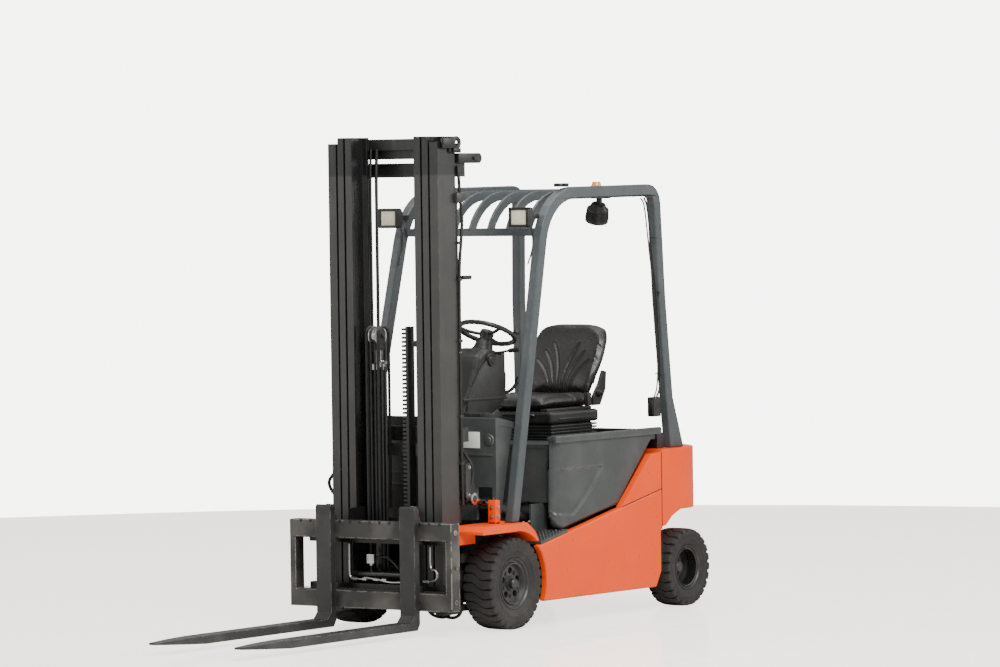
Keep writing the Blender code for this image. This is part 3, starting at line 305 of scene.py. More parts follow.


# Bare steel on the carriage's worn edges, partly painted highlight.
STEEL_AND_HIGHLIGHT = (0.42, 0.39, 0.35)
PAINT = {
    "orange": finish_of("orange", (0.8, 0.062, 0.0), 0.34, bump=0.03,
                        variation=0.05, dust=0.02, gloss=0.25),
    "orange_cast": finish_of("orange_cast", (0.8, 0.062, 0.0), 0.38, grain=60.0, bump=0.06,
                             variation=0.05, dust=0.03, gloss=0.25),
    "grey": finish_of("grey", (0.046, 0.055, 0.058), 0.38, variation=0.08, dust=0.08,
                      wear=(0.004, 0.42, (0.25, 0.25, 0.24))),
    "panel": finish_of("panel", (0.036, 0.042, 0.042), 0.38, grain=420.0, bump=0.10,
                       variation=0.08, dust=0.10),
    "mast": finish_of("mast", (0.026, 0.026, 0.024), 0.4, bump=0.06, variation=0.16, dust=0.04,
                      wear=(0.004, 0.40, (0.16, 0.16, 0.15)), stretch=(1, 1, 0.15), black_above=2.235),
    # Black glossy finish: greasy on the lift and sideshift cylinders and the carriage base, and
    # painted shade where it fills the rear rims' dishes, the skirt seams, the carriage notches, and
    # partly on the mast's inner faces.
    "grease_and_shade": finish_of("grease_and_shade", (0.008, 0.008, 0.008), 0.24, bump=0.10, variation=0.3,
                        stretch=(1, 1, 0.2)),
    # The carriage's lighter edges are worn bare steel and partly painted highlight.
    "carriage": finish_of("carriage", (0.02, 0.02, 0.018), 0.48, bump=0.10, variation=0.25,
                          dust=0.30, wear=(0.008, 0.56, STEEL_AND_HIGHLIGHT)),
    "fork": finish_of("fork", (0.016, 0.016, 0.016), 0.4, bump=0.10, variation=0.25,
                      dust=0.12, wear=(0.006, 0.50, (0.22, 0.21, 0.20))),
    "black": finish_of("black", (0.006, 0.006, 0.006), 0.42, grain=520.0, bump=0.14,
                       variation=0.15, dust=0.05),
    "dark": finish_of("dark", (0.008, 0.008, 0.008), 0.48, bump=0.10, variation=0.2, dust=0.15),
    "vinyl": finish_of("vinyl", (0.008, 0.0075, 0.007), 0.34, grain=900.0, bump=0.22,
                       dust=0.03),
    "tyre": finish_of("tyre", (0.011, 0.01, 0.009), 0.75, grain=340.0, bump=0.30,
                      variation=0.25, dust=0.07),
    "rim": finish_of("rim", (0.016, 0.016, 0.016), 0.4, bump=0.08, variation=0.15, dust=0.12),
    "rubber": finish_of("rubber", (0.006, 0.006, 0.006), 0.42, grain=300.0, bump=0.12),
    "chrome": finish_of("chrome", (0.70, 0.69, 0.67), 0.14, metal=1.0, bump=0.02,
                        variation=0.06),
    "zinc": finish_of("zinc", (0.52, 0.51, 0.48), 0.34, metal=1.0, bump=0.10, variation=0.2),
    "plate": finish_of("plate", (0.66, 0.69, 0.64), 0.40, bump=0.04, variation=0.06, dust=0.1),
    "lens": finish_of("lens", (0.62, 0.58, 0.44), 0.12, bump=0.02, coat=0.6, variation=0.04),
    "amber": finish_of("amber", (0.85, 0.22, 0.02), 0.15, coat=0.5),
}

NODE_PAINT = {
    "orange": ("fender_left", "fender_right", "skirt_left", "skirt_right", "rear_panel_left",
               "rear_panel_right"),
    "orange_cast": ("counterweight",),
    "grey": ("guard_left", "guard_right", "guard_roof"),
    "panel": ("floor_plate", "front_cowl", "side_panel_left", "side_panel_right",
              "battery_bulkhead", "hood"),
    "mast": ("mast_outer", "mast_middle", "mast_inner"),
    "carriage": ("sideshift_frame",),
    "fork": ("fork_left", "fork_right"),
    "grease_and_shade": ("carriage_base", "lift_cylinder_left", "lift_cylinder_right",
               "freelift_cylinder"),
    "dark": ("drive_axle", "steer_axle", "knuckle_left", "knuckle_right", "chassis_frame",
             "battery"),
    "chrome": ("tilt_rod_left", "tilt_rod_right", "freelift_rod"),
    "black": ("tilt_cylinder_left", "tilt_cylinder_right", "rear_deck", "rear_lamp",
              "steering_column", "seat_base", "headlamp_left", "headlamp_right"),
}

EASE_FINE, EASE_PANEL, EASE_CAST = 0.002, 0.004, 0.006
EASE = {"counterweight": EASE_CAST}
for part in ("skirt", "side_panel", "fender"):
    for label, _ in SIDES:
        EASE[f"{part}_{label}"] = EASE_PANEL


def carry_over():
    """Gives each CAD node that stays its finish and eased edges."""
    for finish, names in NODE_PAINT.items():
        for name in names:
            shown = frame["nodes"][name]
            shown.data.materials.clear()
            shown.data.materials.append(PAINT[finish])
            for polygon in shown.data.polygons:
                polygon.material_index = 0
            weld = shown.modifiers.new("weld", "WELD")
            weld.merge_threshold = 0.00002
            ease = shown.modifiers.new("ease", "BEVEL")
            ease.width, ease.segments = EASE.get(name, EASE_FINE), 2
            ease.limit_method, ease.angle_limit = "ANGLE", math.radians(34)
            ease.harden_normals = True


# ---------------------------------------------------------------- shapes
class Shape:
    """Collects simple solids, all in truck places, into one mesh piece."""

    def __init__(self):
        self.bm = bmesh.new()

    def _place(self, verts, matrix):
        bmesh.ops.transform(self.bm, matrix=Matrix.Translation((0, AXLE_Y, 0)) @ matrix,
                            verts=verts)

    def _round(self, edges, ease):
        bmesh.ops.bevel(self.bm, geom=edges, offset=ease, segments=2, affect="EDGES", profile=0.6)

    def box(self, x, y, z, turn=None, ease=0.0):
        made = bmesh.ops.create_cube(self.bm, size=1.0)["verts"]
        centre = Vector(((x[0] + x[1]) / 2, (y[0] + y[1]) / 2, (z[0] + z[1]) / 2))
        size = Matrix.Diagonal((x[1] - x[0], y[1] - y[0], z[1] - z[0], 1))
        self._place(made, Matrix.Translation(centre) @ (turn or Matrix.Identity(4)) @ size)
        if ease:
            edges = list({e for v in made for e in v.link_edges})
            self._round(edges, ease)
        return self

    def rod(self, start, end, radius, sides=20, end_radius=None):
        start, end = Vector(start), Vector(end)
        turn = (end - start).to_track_quat("Z", "Y").to_matrix().to_4x4()
        made = bmesh.ops.create_cone(
            self.bm, cap_ends=True, segments=sides, radius1=radius,
            radius2=radius if end_radius is None else end_radius,
            depth=(end - start).length)["verts"]
        self._place(made, Matrix.Translation((start + end) / 2) @ turn)
        return self

    def stack(self, base, way, discs, sides=36):
        """Discs on one axis, each with its start, stop, radius and end radius."""
        base, way = Vector(base), Vector(way)
        for start, stop, radius, end_radius in discs:
            self.rod(base + way * start, base + way * stop, radius, sides, end_radius)
        return self

    def bolt(self, place, way, radius):
        """Washer, hexagon head and a shallow domed top, standing along way."""
        place, way = Vector(place), Vector(way).normalized()
        self.rod(place, place + way * radius * 0.25, radius * 1.35, 20)
        self.rod(place + way * radius * 0.25, place + way * radius * 1.0, radius, 6, radius * 0.96)
        self.rod(place + way * radius * 1.0, place + way * radius * 1.15, radius * 0.7, 12,
                 radius * 0.3)
        return self

    def tube(self, points, radius, sides=10, steps=6):
        """A round tube along a smooth line through the points."""
        line = smooth_line([Vector(p) for p in points], steps)
        rings, side = [], None
        for index, place in enumerate(line):
            ahead = line[min(index + 1, len(line) - 1)] - line[max(index - 1, 0)]
            ahead.normalize()
            if side is None:
                side = ahead.orthogonal().normalized()
            side = (side - ahead * side.dot(ahead)).normalized()
            other = ahead.cross(side)
            ring = []
            for k in range(sides):
                angle = math.tau * k / sides
                offset = side * math.cos(angle) + other * math.sin(angle)
                ring.append(self.bm.verts.new(place + offset * radius + Vector((0, AXLE_Y, 0))))
            rings.append(ring)
        join_rings(self.bm, rings, closed=False)
        self.bm.faces.new(rings[0][::-1])
        self.bm.faces.new(rings[-1])
        return self

    def prism(self, outline, axis, span, ease=0.0):
        """An outline in the plane across axis, drawn out over span."""
        def full(a, b, c):
            return {"x": (c, a, b), "y": (a, c, b), "z": (a, b, c)}[axis]
        first = [self.bm.verts.new(spot(*full(a, b, span[0]))) for a, b in outline]
        last = [self.bm.verts.new(spot(*full(a, b, span[1]))) for a, b in outline]
        count = len(outline)
        faces = [self.bm.faces.new(first), self.bm.faces.new(last[::-1])]
        for k in range(count):
            faces.append(self.bm.faces.new((first[(k + 1) % count], first[k], last[k],
                                            last[(k + 1) % count])))
        bmesh.ops.recalc_face_normals(self.bm, faces=faces)
        if ease:
            edges = list({e for f in faces for e in f.edges})
            self._round(edges, ease)
        return self

    def done(self, name, finish, body):
        return dress(name, mesh_of(self.bm, name), finish, body)


def dress(name, data, finish, body, crease=35.0, subdivide=0):
    """Makes a mesh into a piece that rides on a body."""
    for polygon in data.polygons:
        polygon.use_smooth = True
    data.set_sharp_from_angle(angle=math.radians(crease))
    piece = hang(name, data)
    piece.data.materials.append(PAINT[finish])
    if subdivide:
        finer = piece.modifiers.new("finer", "SUBSURF")
        finer.levels = finer.render_levels = subdivide
    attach(piece, body)
    return piece


def smooth_line(points, steps):
    """Catmull-Rom line through the points."""
    if len(points) < 3:
        return points
    line = []
    padded = [2 * points[0] - points[1], *points, 2 * points[-1] - points[-2]]
    for k in range(1, len(padded) - 2):
        a, b, c, d = padded[k - 1:k + 3]
        for step in range(steps):
            t = step / steps
            line.append(0.5 * (2 * b + (c - a) * t + (2 * a - 5 * b + 4 * c - d) * t * t
                               + (3 * b - a - 3 * c + d) * t ** 3))
    line.append(points[-1])
    return line


def revolve(name, centre, side, profile, steps=96):
    """Mesh of a closed (out, radius) profile turned about the X axis through centre."""
    bm = bmesh.new()
    rings = []
    for step in range(steps):
        angle = math.tau * step / steps
        rings.append([bm.verts.new(centre + Vector((side * out, 0, 0)) + around(radius, angle))
                      for out, radius in profile])
    join_rings(bm, rings)
    return mesh_of(bm, name)


# ---------------------------------------------------------------- wheels
def wheel_size(node):
    """Centre, half width and radius of a tyre or rim, from its CAD box."""
    low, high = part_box(node)
    return (low + high) / 2, (high.x - low.x) / 2, (high.z - low.z) / 2


def tyre(name, body, side, lugs, depth):
    """Solid tyre: shaped side walls, and lugs that lean across a crowned tread."""
    centre, half, radius = wheel_size(name)
    bead = wheel_size(name.replace("tyre", "rim"))[2] - 0.0015
    tread = [(x / 10 * 0.93, 0.0012 * (x / 10) ** 2 + 0.004 * abs(x / 10) ** 6)
             for x in range(-10, 11, 2)]
    left = [(-0.60, bead), (-0.80, bead + 0.001), (-0.88, bead + 0.010), (-0.90, bead + 0.022),
            (-0.985, bead + 0.032), (-0.99, bead + 0.044), (-0.975, bead + 0.047),
            (-1.0, bead + 0.060), (-0.995, radius - 0.034), (-0.975, radius - 0.015)]
    outline = [(x * half, r, 0.0) for x, r in left]
    outline += [(x * half, radius - drop, 1.0) for x, drop in tread]
    outline += [(-x * half, r, 0.0) for x, r in reversed(left)]
    pitch = math.tau / lugs
    bm = bmesh.new()
    rings = []
    for lug in range(lugs):
        for kind in range(6):
            ring = []
            for x, r, on_tread in outline:
                part = x / half
                gap = 0.040 + 0.13 * max(0.0, abs(part) - 0.62) / 0.38
                t = (0.0, gap, gap + 0.035, 0.5, 1 - gap - 0.035, 1 - gap)[kind]
                cut = 0.0
                if kind in (0, 1, 5) and r > radius - 0.040:
                    cut = depth * (0.35 + 0.65 * min(1.0, abs(part) * 1.3))
                    cut *= 1.0 if on_tread else (0.45 if r < radius - 0.03 else 0.8)
                lean = 0.85 * part * (1 - 0.55 * part * part) + 0.10 * math.sin(part * 6.0)
                angle = (lug + t + lean) * pitch
                ring.append(bm.verts.new(centre + Vector((
                    side * x * (1 - 0.5 * cut if not on_tread else 1.0),
                    (r - cut) * math.cos(angle), (r - cut) * math.sin(angle)))))
            rings.append(ring)
    join_rings(bm, rings)
    piece = dress(name + "_tread", mesh_of(bm, name + "_tread"), "tyre", body, 30.0)
    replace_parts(piece, name)


def front_rim(label, side):
    """Drive wheel: flush disc with five round holes, flange, and a domed hub cap."""
    node, body = "front_rim_" + label, "front_wheel_" + label
    centre, half, radius = wheel_size(node)
    face = half - 0.024
    profile = [(-half, radius - 0.002), (half - 0.010, radius - 0.002),
               (half + 0.001, radius - 0.003), (half + 0.002, radius - 0.008),
               (half - 0.002, radius - 0.012), (half - 0.010, radius - 0.015),
               (half - 0.012, radius - 0.022), (half - 0.004, radius - 0.026),
               (half - 0.005, radius - 0.031), (face, radius - 0.040), (face - 0.002, 0.040),
               (face - 0.002, 0.0012), (face - 0.020, 0.0012), (face - 0.022, radius - 0.042),
               (face - 0.040, radius - 0.026), (-half, radius - 0.024)]
    disc = hang("uncut", revolve(node + "_disc", centre, side, profile))
    holes = bmesh.new()
    count, ring, hole = 5, 0.0635, 0.0165
    angles = [math.tau * (k + 0.25) / count for k in range(count)]
    across = Matrix.Rotation(math.radians(90), 4, "Y")
    for angle in angles:
        place = centre + Vector((side * face, 0, 0)) + around(ring, angle)
        bmesh.ops.create_cone(holes, cap_ends=True, segments=28, radius1=hole, radius2=hole,
                              depth=0.09, matrix=Matrix.Translation(place) @ across)
    tool = hang("tool", mesh_of(holes, "tool"))
    cut = disc.modifiers.new("holes", "BOOLEAN")
    cut.operation, cut.object, cut.solver = "DIFFERENCE", tool, "EXACT"
    data = applied(disc)
    for spent in (disc, tool):
        bpy.data.objects.remove(spent)
    piece = dress(node + "_disc", data, "rim", body, 32.0)
    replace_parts(piece, node)

    hub = Shape()
    middle = Vector((centre.x, centre.y - AXLE_Y, centre.z))
    out = Vector((side, 0, 0))
    plane = middle + out * (face - 0.003)
    hub.rod(plane, plane + out * 0.010, 0.038, 40, 0.034)
    hub.stack(plane, out, ((0.010, 0.030, 0.027, 0.026), (0.030, 0.036, 0.026, 0.020)))
    for angle in angles:
        hub.bolt(plane + out * 0.002 + around(0.062, angle + math.pi / count), out, 0.0085)
        well = middle + out * (face - 0.032) + around(ring, angle)
        hub.rod(well, well + out * 0.004, 0.0215, 24)
    hub.done(f"front_hub_{label}", "rim", body)


def rear_rim(label, side):
    """Steered wheel: deep dish, its inside black as painted shade, with a stepped hub cap."""
    node, body = "rear_rim_" + label, "rear_wheel_" + label
    centre, half, radius = wheel_size(node)
    floor = half - 0.096
    profile = [(-half, radius - 0.002), (half - 0.010, radius - 0.002),
               (half + 0.001, radius - 0.003), (half + 0.002, radius - 0.007),
               (half - 0.002, radius - 0.011), (half - 0.010, radius - 0.013),
               (half - 0.011, radius - 0.017), (half - 0.005, radius - 0.020),
               (half - 0.007, radius - 0.024), (half - 0.060, radius - 0.028),
               (floor + 0.006, radius - 0.034), (floor, radius - 0.042), (floor, 0.0012),
               (floor - 0.012, 0.0012), (floor - 0.014, radius - 0.030), (-half, radius - 0.024)]
    data = revolve(node + "_dish", centre, side, profile)
    piece = dress(node + "_dish", data, "rim", body, 32.0)
    shaded_span = sorted((centre.x + side * (half - 0.012), centre.x))
    # The dish's inside gets the black glossy finish: painted shade in the hollow.
    piece.data.materials.append(PAINT["grease_and_shade"])
    for polygon in piece.data.polygons:
        if shaded_span[0] < polygon.center.x < shaded_span[1]:
            polygon.material_index = 1
    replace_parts(piece, node)
    hub = Shape()
    out = Vector((side, 0, 0))
    plane = Vector((centre.x, centre.y - AXLE_Y, centre.z)) + out * floor
    hub.stack(plane, out, ((0.000, 0.022, 0.044, 0.042), (0.022, 0.040, 0.036, 0.034),
                           (0.040, 0.050, 0.034, 0.026), (0.050, 0.054, 0.026, 0.010)))
    for k in range(5):
        hub.bolt(plane + around(0.060, math.tau * k / 5), out, 0.009)
    hub.done(f"rear_hub_{label}", "dark", body)


def wheels():
    for label, side in SIDES:
        tyre(f"front_tyre_{label}", f"front_wheel_{label}", side, 30, 0.012)
        tyre(f"rear_tyre_{label}", f"rear_wheel_{label}", side, 24, 0.014)
        front_rim(label, side)
        rear_rim(label, side)


# ---------------------------------------------------------------- seat
def pillow(name, shape, across, along):
    """A closed soft form: shape(u, v), both -1 to 1, gives a place, a direction and a thickness."""
    bm = bmesh.new()
    front, back = [], []
    for j in range(along + 1):
        row_front, row_back = [], []
        for i in range(across + 1):
            u, v = 2 * i / across - 1, 2 * j / along - 1
            place, way, thick = shape(u, v)
            rim = (1 - abs(u) ** 6) * (1 - abs(v) ** 6)
            bulge = math.sqrt(max(0.0, rim))
            row_front.append(bm.verts.new(place + way * thick * bulge))
            edge = i in (0, across) or j in (0, along)
            row_back.append(row_front[-1] if edge else
                            bm.verts.new(place - way * thick * 0.55 * bulge))
        front.append(row_front)
        back.append(row_back)
    for j in range(along):
        for i in range(across):
            bm.faces.new((front[j][i], front[j][i + 1], front[j + 1][i + 1], front[j + 1][i]))
            bm.faces.new((back[j][i], back[j + 1][i], back[j + 1][i + 1], back[j][i + 1]))
    return mesh_of(bm, name)


def puff(data, cap, pressure=4.0, voxel=0.006, frames=16):
    """Swells a closed mesh as cloth, no point moving further than cap."""
    work = hang("work", data)
    remesh = work.modifiers.new("remesh", "REMESH")
    remesh.mode, remesh.voxel_size = "VOXEL", voxel
    fine = applied(work)
    work.modifiers.clear()
    work.data = fine
    start = [v.co.copy() for v in fine.vertices]
    cloth = work.modifiers.new("cloth", "CLOTH")
    cloth.settings.use_pressure = True
    cloth.settings.uniform_pressure_force = pressure
    cloth.settings.effector_weights.gravity = 0
    cloth.point_cache.frame_end = frames
    scene = bpy.context.scene
    for step in range(1, frames + 1):
        scene.frame_set(step)
    swollen = applied(work)
    for vertex, first in zip(swollen.vertices, start):
        moved = vertex.co - first
        if moved.length > cap:
            vertex.co = first + moved.normalized() * cap
    scene.frame_set(1)
    bpy.data.objects.remove(work)
    return swollen


def groove(data, lines, depth, width, facing):
    """Sinks a stitched channel into what faces a direction, along lines of points."""
    data.update()
    for vertex in data.vertices:
        if vertex.normal.dot(facing) < 0.25:
            continue
        near = min(gap_to(vertex.co, line, facing) for line in lines)
        if near < width * 2.5:
            vertex.co -= facing * depth * math.exp(-(near / width) ** 2)


def gap_to(place, line, facing):
    best = 1.0
    for a, b in zip(line, line[1:]):
        run = b - a
        flat = place - a
        flat = flat - facing * flat.dot(facing)
        level = run - facing * run.dot(facing)
        t = max(0.0, min(1.0, flat.dot(level) / max(level.length_squared, 1e-9)))
        best = min(best, (flat - level * t).length)
    return best


def seat():
    low, high = local_box("seat_cushion")
    back_low, back_high = local_box("seat_back")
    half = (high.x - low.x) / 2
    tall = high.z - low.z

    def cushion(u, v):
        narrow = 1 - 0.06 * max(0.0, -v) ** 2
        x = u * (half - 0.010) * narrow
        y = (low.y + high.y) / 2 + v * ((high.y - low.y) / 2 - 0.012)
        dish = 0.014 * math.cos(u * math.pi / 2) * math.cos(v * 1.3)
        roll = 0.026 * max(0.0, -v - 0.50) ** 1.5
        return spot(x, y, low.z + 0.42 * tall - dish - roll + 0.010 * abs(u) ** 3), \
            Vector((0, 0, 1)), 0.046

    data = puff(pillow("cushion", cushion, 40, 40), 0.007)
    lines = []
    for k in (-1, 1):
        lines.append([spot(k * (0.140 + 0.018 * math.sin(t * 0.8)), high.y - 0.04 - 0.10 * t, 1.1)
                      for t in range(5)])
        for n in range(2):
            lines.append([spot(k * (0.026 + 0.045 * n + 0.016 * t * t),
                               low.y + 0.10 + 0.05 * n + 0.05 * t, 1.1) for t in range(4)])
    groove(data, lines, 0.0075, 0.007, Vector((0, 0, 1)))
    piece = dress("seat_cushion_vinyl", data, "vinyl", "hood", 60.0, 1)
    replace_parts(piece, "seat_cushion")

    foot = Vector((0, back_low.y + 0.046, back_low.z - 0.034))
    head = Vector((0, back_high.y - 0.046, back_high.z - 0.004))
    rise = head - foot
    way = Vector((0, -rise.z, rise.y)).normalized()

    def backrest(u, v):
        t = (v + 1) / 2
        wide = half * (0.80 + 0.20 * math.sin(min(1.0, t * 1.5) * math.pi / 2))
        wide *= 1 - 0.12 * max(0.0, t - 0.74) ** 2 / 0.0676
        x = u * (wide - 0.006)
        place = foot + rise * (0.01 + 0.98 * t)
        drop = 0.034 * abs(u) ** 3.6 * max(0.0, t - 0.25) / 0.75
        wing = 0.034 * abs(u) ** 2.2 * (1 - 0.55 * t)
        belly = 0.012 * math.exp(-((t - 0.22) / 0.2) ** 2) * (1 - u * u)
        return spot(x, place.y, place.z - drop) + way * (wing + belly - 0.012), way, 0.036

    data = puff(pillow("back", backrest, 44, 44), 0.007)
    lines = []
    for k in (-1, 1):
        for n in range(3):
            points = []
            for step in range(8):
                t = step / 7
                height = 0.07 + (0.62 - 0.11 * n) * t
                base = foot + rise * height
                reach = 0.014 + 0.026 * n + (0.062 + 0.016 * n) * t ** 2.2
                points.append(spot(k * reach, base.y, base.z))
            lines.append(points)
    groove(data, lines, 0.0075, 0.0062, way)
    piece = dress("seat_back_vinyl", data, "vinyl", "hood", 60.0, 1)
    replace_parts(piece, "seat_back")


# ---------------------------------------------------------------- body panels
def skirt_line(y):
    """Top of the orange skirt at y, from its CAD boxes."""
    low, high = local_box("skirt_left")
    start = local_box("floor_plate")[0].z - 0.004
    t = (y - low.y) / (high.y - low.y)
    return start + (high.z - start) * max(0.0, min(1.0, t))


def panel_skin(label, side):
    """Moulded battery side panel: rounded front, sunk relief, a bottom edge that rolls inward, rim
    on top.
    """
    node = "side_panel_" + label
    bend, slope, corner = 0.075, 0.925, 0.050
    low, high = local_box(node)
    inner = min(abs(low.x), abs(high.x))
    outer = max(abs(low.x), abs(high.x)) - 0.020
    front, top = low.y + 0.006, high.z - 0.030
    end = 1.286
    across, up = 110, 70

    def edge_low(y):
        base = skirt_line(y) + 0.012
        if y < front + bend:
            base += bend - math.sqrt(max(0.0, bend ** 2 - (front + bend - y) ** 2))
        start = skirt_line(slope)
        slant = (y - slope) * (0.905 - start) / (end - slope) + start
        return max(base, slant + 0.003) if y > slope else base

    def relief(y, z):
        """1 inside the embossed shield, 0 outside, with a short slope between."""
        right = 0.800 - max(0.0, 0.765 - z) * (0.95 + 1.7 * max(0.0, 0.66 - z))
        gap = min(y - (front - 0.1), right - y, 0.765 - z, z - 0.545 + 0.10 * (y - 0.40))
        return max(0.0, min(1.0, gap / 0.006 + 0.5))

    bm = bmesh.new()
    grid = []
    for i in range(across + 1):
        y = front + (end - front) * (i / across)
        bottom = edge_low(y)
        column = []
        for j in range(up + 1):
            z = bottom + (top - bottom) * j / up
            turn = max(0.0, corner - (y - front)) / corner
            x = outer - corner * (1 - math.sqrt(max(0.0, 1 - turn ** 2))) * 0.86
            x += 0.004 - 0.009 * relief(y, z)
            x -= 0.012 * max(0.0, 1 - (z - bottom) / 0.018) ** 2
            column.append(bm.verts.new(spot(side * x, y, z)))
        grid.append(column)
    rear = [[bm.verts.new(spot(side * (inner + 0.004), v[k].co.y - AXLE_Y, v[k].co.z))
             for k in (0, up)] for v in grid]
    for i in range(across):
        for j in range(up):
            bm.faces.new((grid[i][j], grid[i + 1][j], grid[i + 1][j + 1], grid[i][j + 1]))
        bm.faces.new((grid[i][0], rear[i][0], rear[i + 1][0], grid[i + 1][0]))
        bm.faces.new((grid[i][up], grid[i + 1][up], rear[i + 1][1], rear[i][1]))
        bm.faces.new((rear[i][0], rear[i][1], rear[i + 1][1], rear[i + 1][0]))
    for column, back in ((grid[0], rear[0]), (grid[-1], rear[-1])):
        bm.faces.new([*column, back[1], back[0]])
    data = mesh_of(bm, node + "_skin")
    piece = dress(node + "_skin", data, "panel", "root", 50.0)
    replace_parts(piece, node)

    rim = Shape()
    rim.box(between(side, inner + 0.002, outer + 0.010), (front - 0.012, high.y),
            (high.z - 0.030, high.z - 0.004), ease=0.006)
    rim.box(between(side, outer - 0.014, outer + 0.016), (front - 0.014, high.y),
            (high.z - 0.036, high.z), ease=0.007)
    rim.done(f"side_rim_{label}", "panel", "root")


def side_trim(label, side):
    """Dark cords along the skirt's seams, painted shadow in the joints, plugs of the skirt, the
    steps' grip, and the tilt bracket on the fender.
    """
    out = Vector((side, 0, 0))
    skirt_face, seam_y = 0.5365, (0.930, 1.297)
    # Thin black cords on the skirt's top edge and its rear seam: painted shadow in the joints.
    joint_shadow = Shape()
    joint_shadow.tube([(side * skirt_face, y, skirt_line(y) + 0.0012) for y in seam_y], 0.0020, 6)
    joint_shadow.tube([(side * skirt_face, 1.299, z) for z in (0.130, 0.800)], 0.0018, 6)
    joint_shadow.done(f"seam_shadows_{label}", "grease_and_shade", "root")
    plugs = Shape()
    for y, z in ((0.33, 0.30), (1.16, 0.30), (1.16, 0.52)):
        plugs.rod((side * 0.540, y, z), (side * 0.5408, y, z), 0.006, 16)
    plugs.done(f"skirt_plugs_{label}", "orange", "root")

    grip = Shape()
    for row in range(4):
        for k in range(8):
            y = 0.218 + k * 0.027 + (row % 2) * 0.012
            top = Vector((side * (0.422 + row * 0.031), y, skirt_line(y) + 0.0142))
            grip.rod(top - Vector((0, 0, 0.002)), top + Vector((0, 0, 0.0045)), 0.0075, 14, 0.0050)
    grip.done(f"step_grip_{label}", "black", "root")

    lug = Shape()
    lug_x, lug_y, lug_z = between(side, 0.402, 0.448), -0.062, 0.520
    lug.box(lug_x, (lug_y, -0.022), (lug_z, 0.640), ease=0.004)
    lug.box(lug_x, (lug_y, 0.016), (lug_z, 0.534), ease=0.003)
    lug.done(f"fender_bracket_{label}", "orange", "root")
    bolts = Shape()
    for z in (0.560, 0.605):
        bolts.bolt((side * 0.448, -0.042, z), out, 0.008)
        bolts.bolt((side * 0.425, lug_y, z), (0, -1, 0), 0.008)
    for y in (0.070, 0.120):
        bolts.bolt((side * 0.520, y, 0.5245), (0, 0, 1), 0.006)
    bolts.done(f"bracket_bolts_{label}", "zinc", "root")


def cowl_trim():
    """Blank plate, bosses and ribs on the cowl, with the dash top behind it."""
    face = local_box("front_cowl")[0].y
    plate = Shape()
    plate.box((0.232, 0.330), (face - 0.0025, face), (0.892, 0.972), ease=0.001)
    plate.done("cowl_plate", "plate", "root")
    bosses = Shape()
    for side in (-1, 1):
        bosses.rod((side * 0.385, face, 0.934), (side * 0.385, face - 0.006, 0.934), 0.030, 32,
                   0.026)
        bosses.rod((side * 0.385, face - 0.006, 0.934), (side * 0.385, face - 0.010, 0.934),
                   0.016, 24, 0.013)
    for half, depth, z, top, ease in (
            (0.300, 0.004, 0.700, 0.710, 0.0015), (0.300, 0.004, 0.760, 0.770, 0.0015),
            (0.405, 0.005, 0.855, 0.868, 0.002), (0.200, 0.012, 0.895, 0.985, 0.004)):
        bosses.box((-half, half), (face - depth, face), (z, top), ease=ease)
    bosses.done("cowl_trim", "panel", "root")

    dash = Shape()
    dash.box((-0.350, 0.350), (0.020, 0.150), (1.000, 1.022), ease=0.004)
    dash.box((0.150, 0.300), (0.030, 0.130), (1.018, 1.062), ease=0.010)
    for k in range(4):
        x = 0.166 + k * 0.032
        dash.box((x, x + 0.022), (0.124, 0.136), (1.030, 1.052), ease=0.002)
    dash.done("dash_top", "black", "root")


def rear_trim():
    """Rims round the hood, tow pin, and the box with its cables on the left rear pillar."""
    deck = Shape()
    for side in (-1, 1):
        deck.box(between(side, 0.440, 0.456), (0.640, 1.352), (0.889, 0.922), ease=0.004)
    deck.box((-0.456, 0.456), (1.338, 1.352), (0.889, 0.922), ease=0.004)
    deck.done("tray_rim", "black", "hood")
    pin = Shape()
    pin.box((-0.075, 0.075), (1.846, 1.862), (0.530, 0.600), ease=0.006)
    pin.rod((0, 1.853, 0.528), (0, 1.853, 0.640), 0.010, 16)
    pin.done("tow_pin", "dark", "root")
    box = Shape()
    box.box((0.430, 0.470), (1.336, 1.404), (0.985, 1.086), ease=0.006)
    box.box((0.436, 0.466), (1.330, 1.340), (1.000, 1.070), ease=0.003)
    box.tube([(0.462, 1.372, 1.080), (0.464, 1.400, 1.130), (0.462, 1.414, 1.24),
              (0.452, 1.404, 1.580), (0.442, 1.376, 1.84), (0.436, 1.352, 2.05),
              (0.430, 1.330, 2.110)], 0.005)
    box.tube([(0.448, 1.372, 1.080), (0.452, 1.396, 1.140), (0.450, 1.408, 1.28),
              (0.440, 1.396, 1.600), (0.432, 1.366, 1.86), (0.424, 1.342, 2.06),
              (0.416, 1.320, 2.110)], 0.004)
    for z, y in ((1.20, 1.412), (1.62, 1.402), (1.90, 1.372)):
        box.box((0.436, 0.472), (y - 0.010, y + 0.010), (z, z + 0.006), ease=0.001)
    box.done("pillar_box", "black", "root")


def body_trim():
    for label, side in SIDES:
        panel_skin(label, side)
        side_trim(label, side)
    cowl_trim()
    rear_trim()


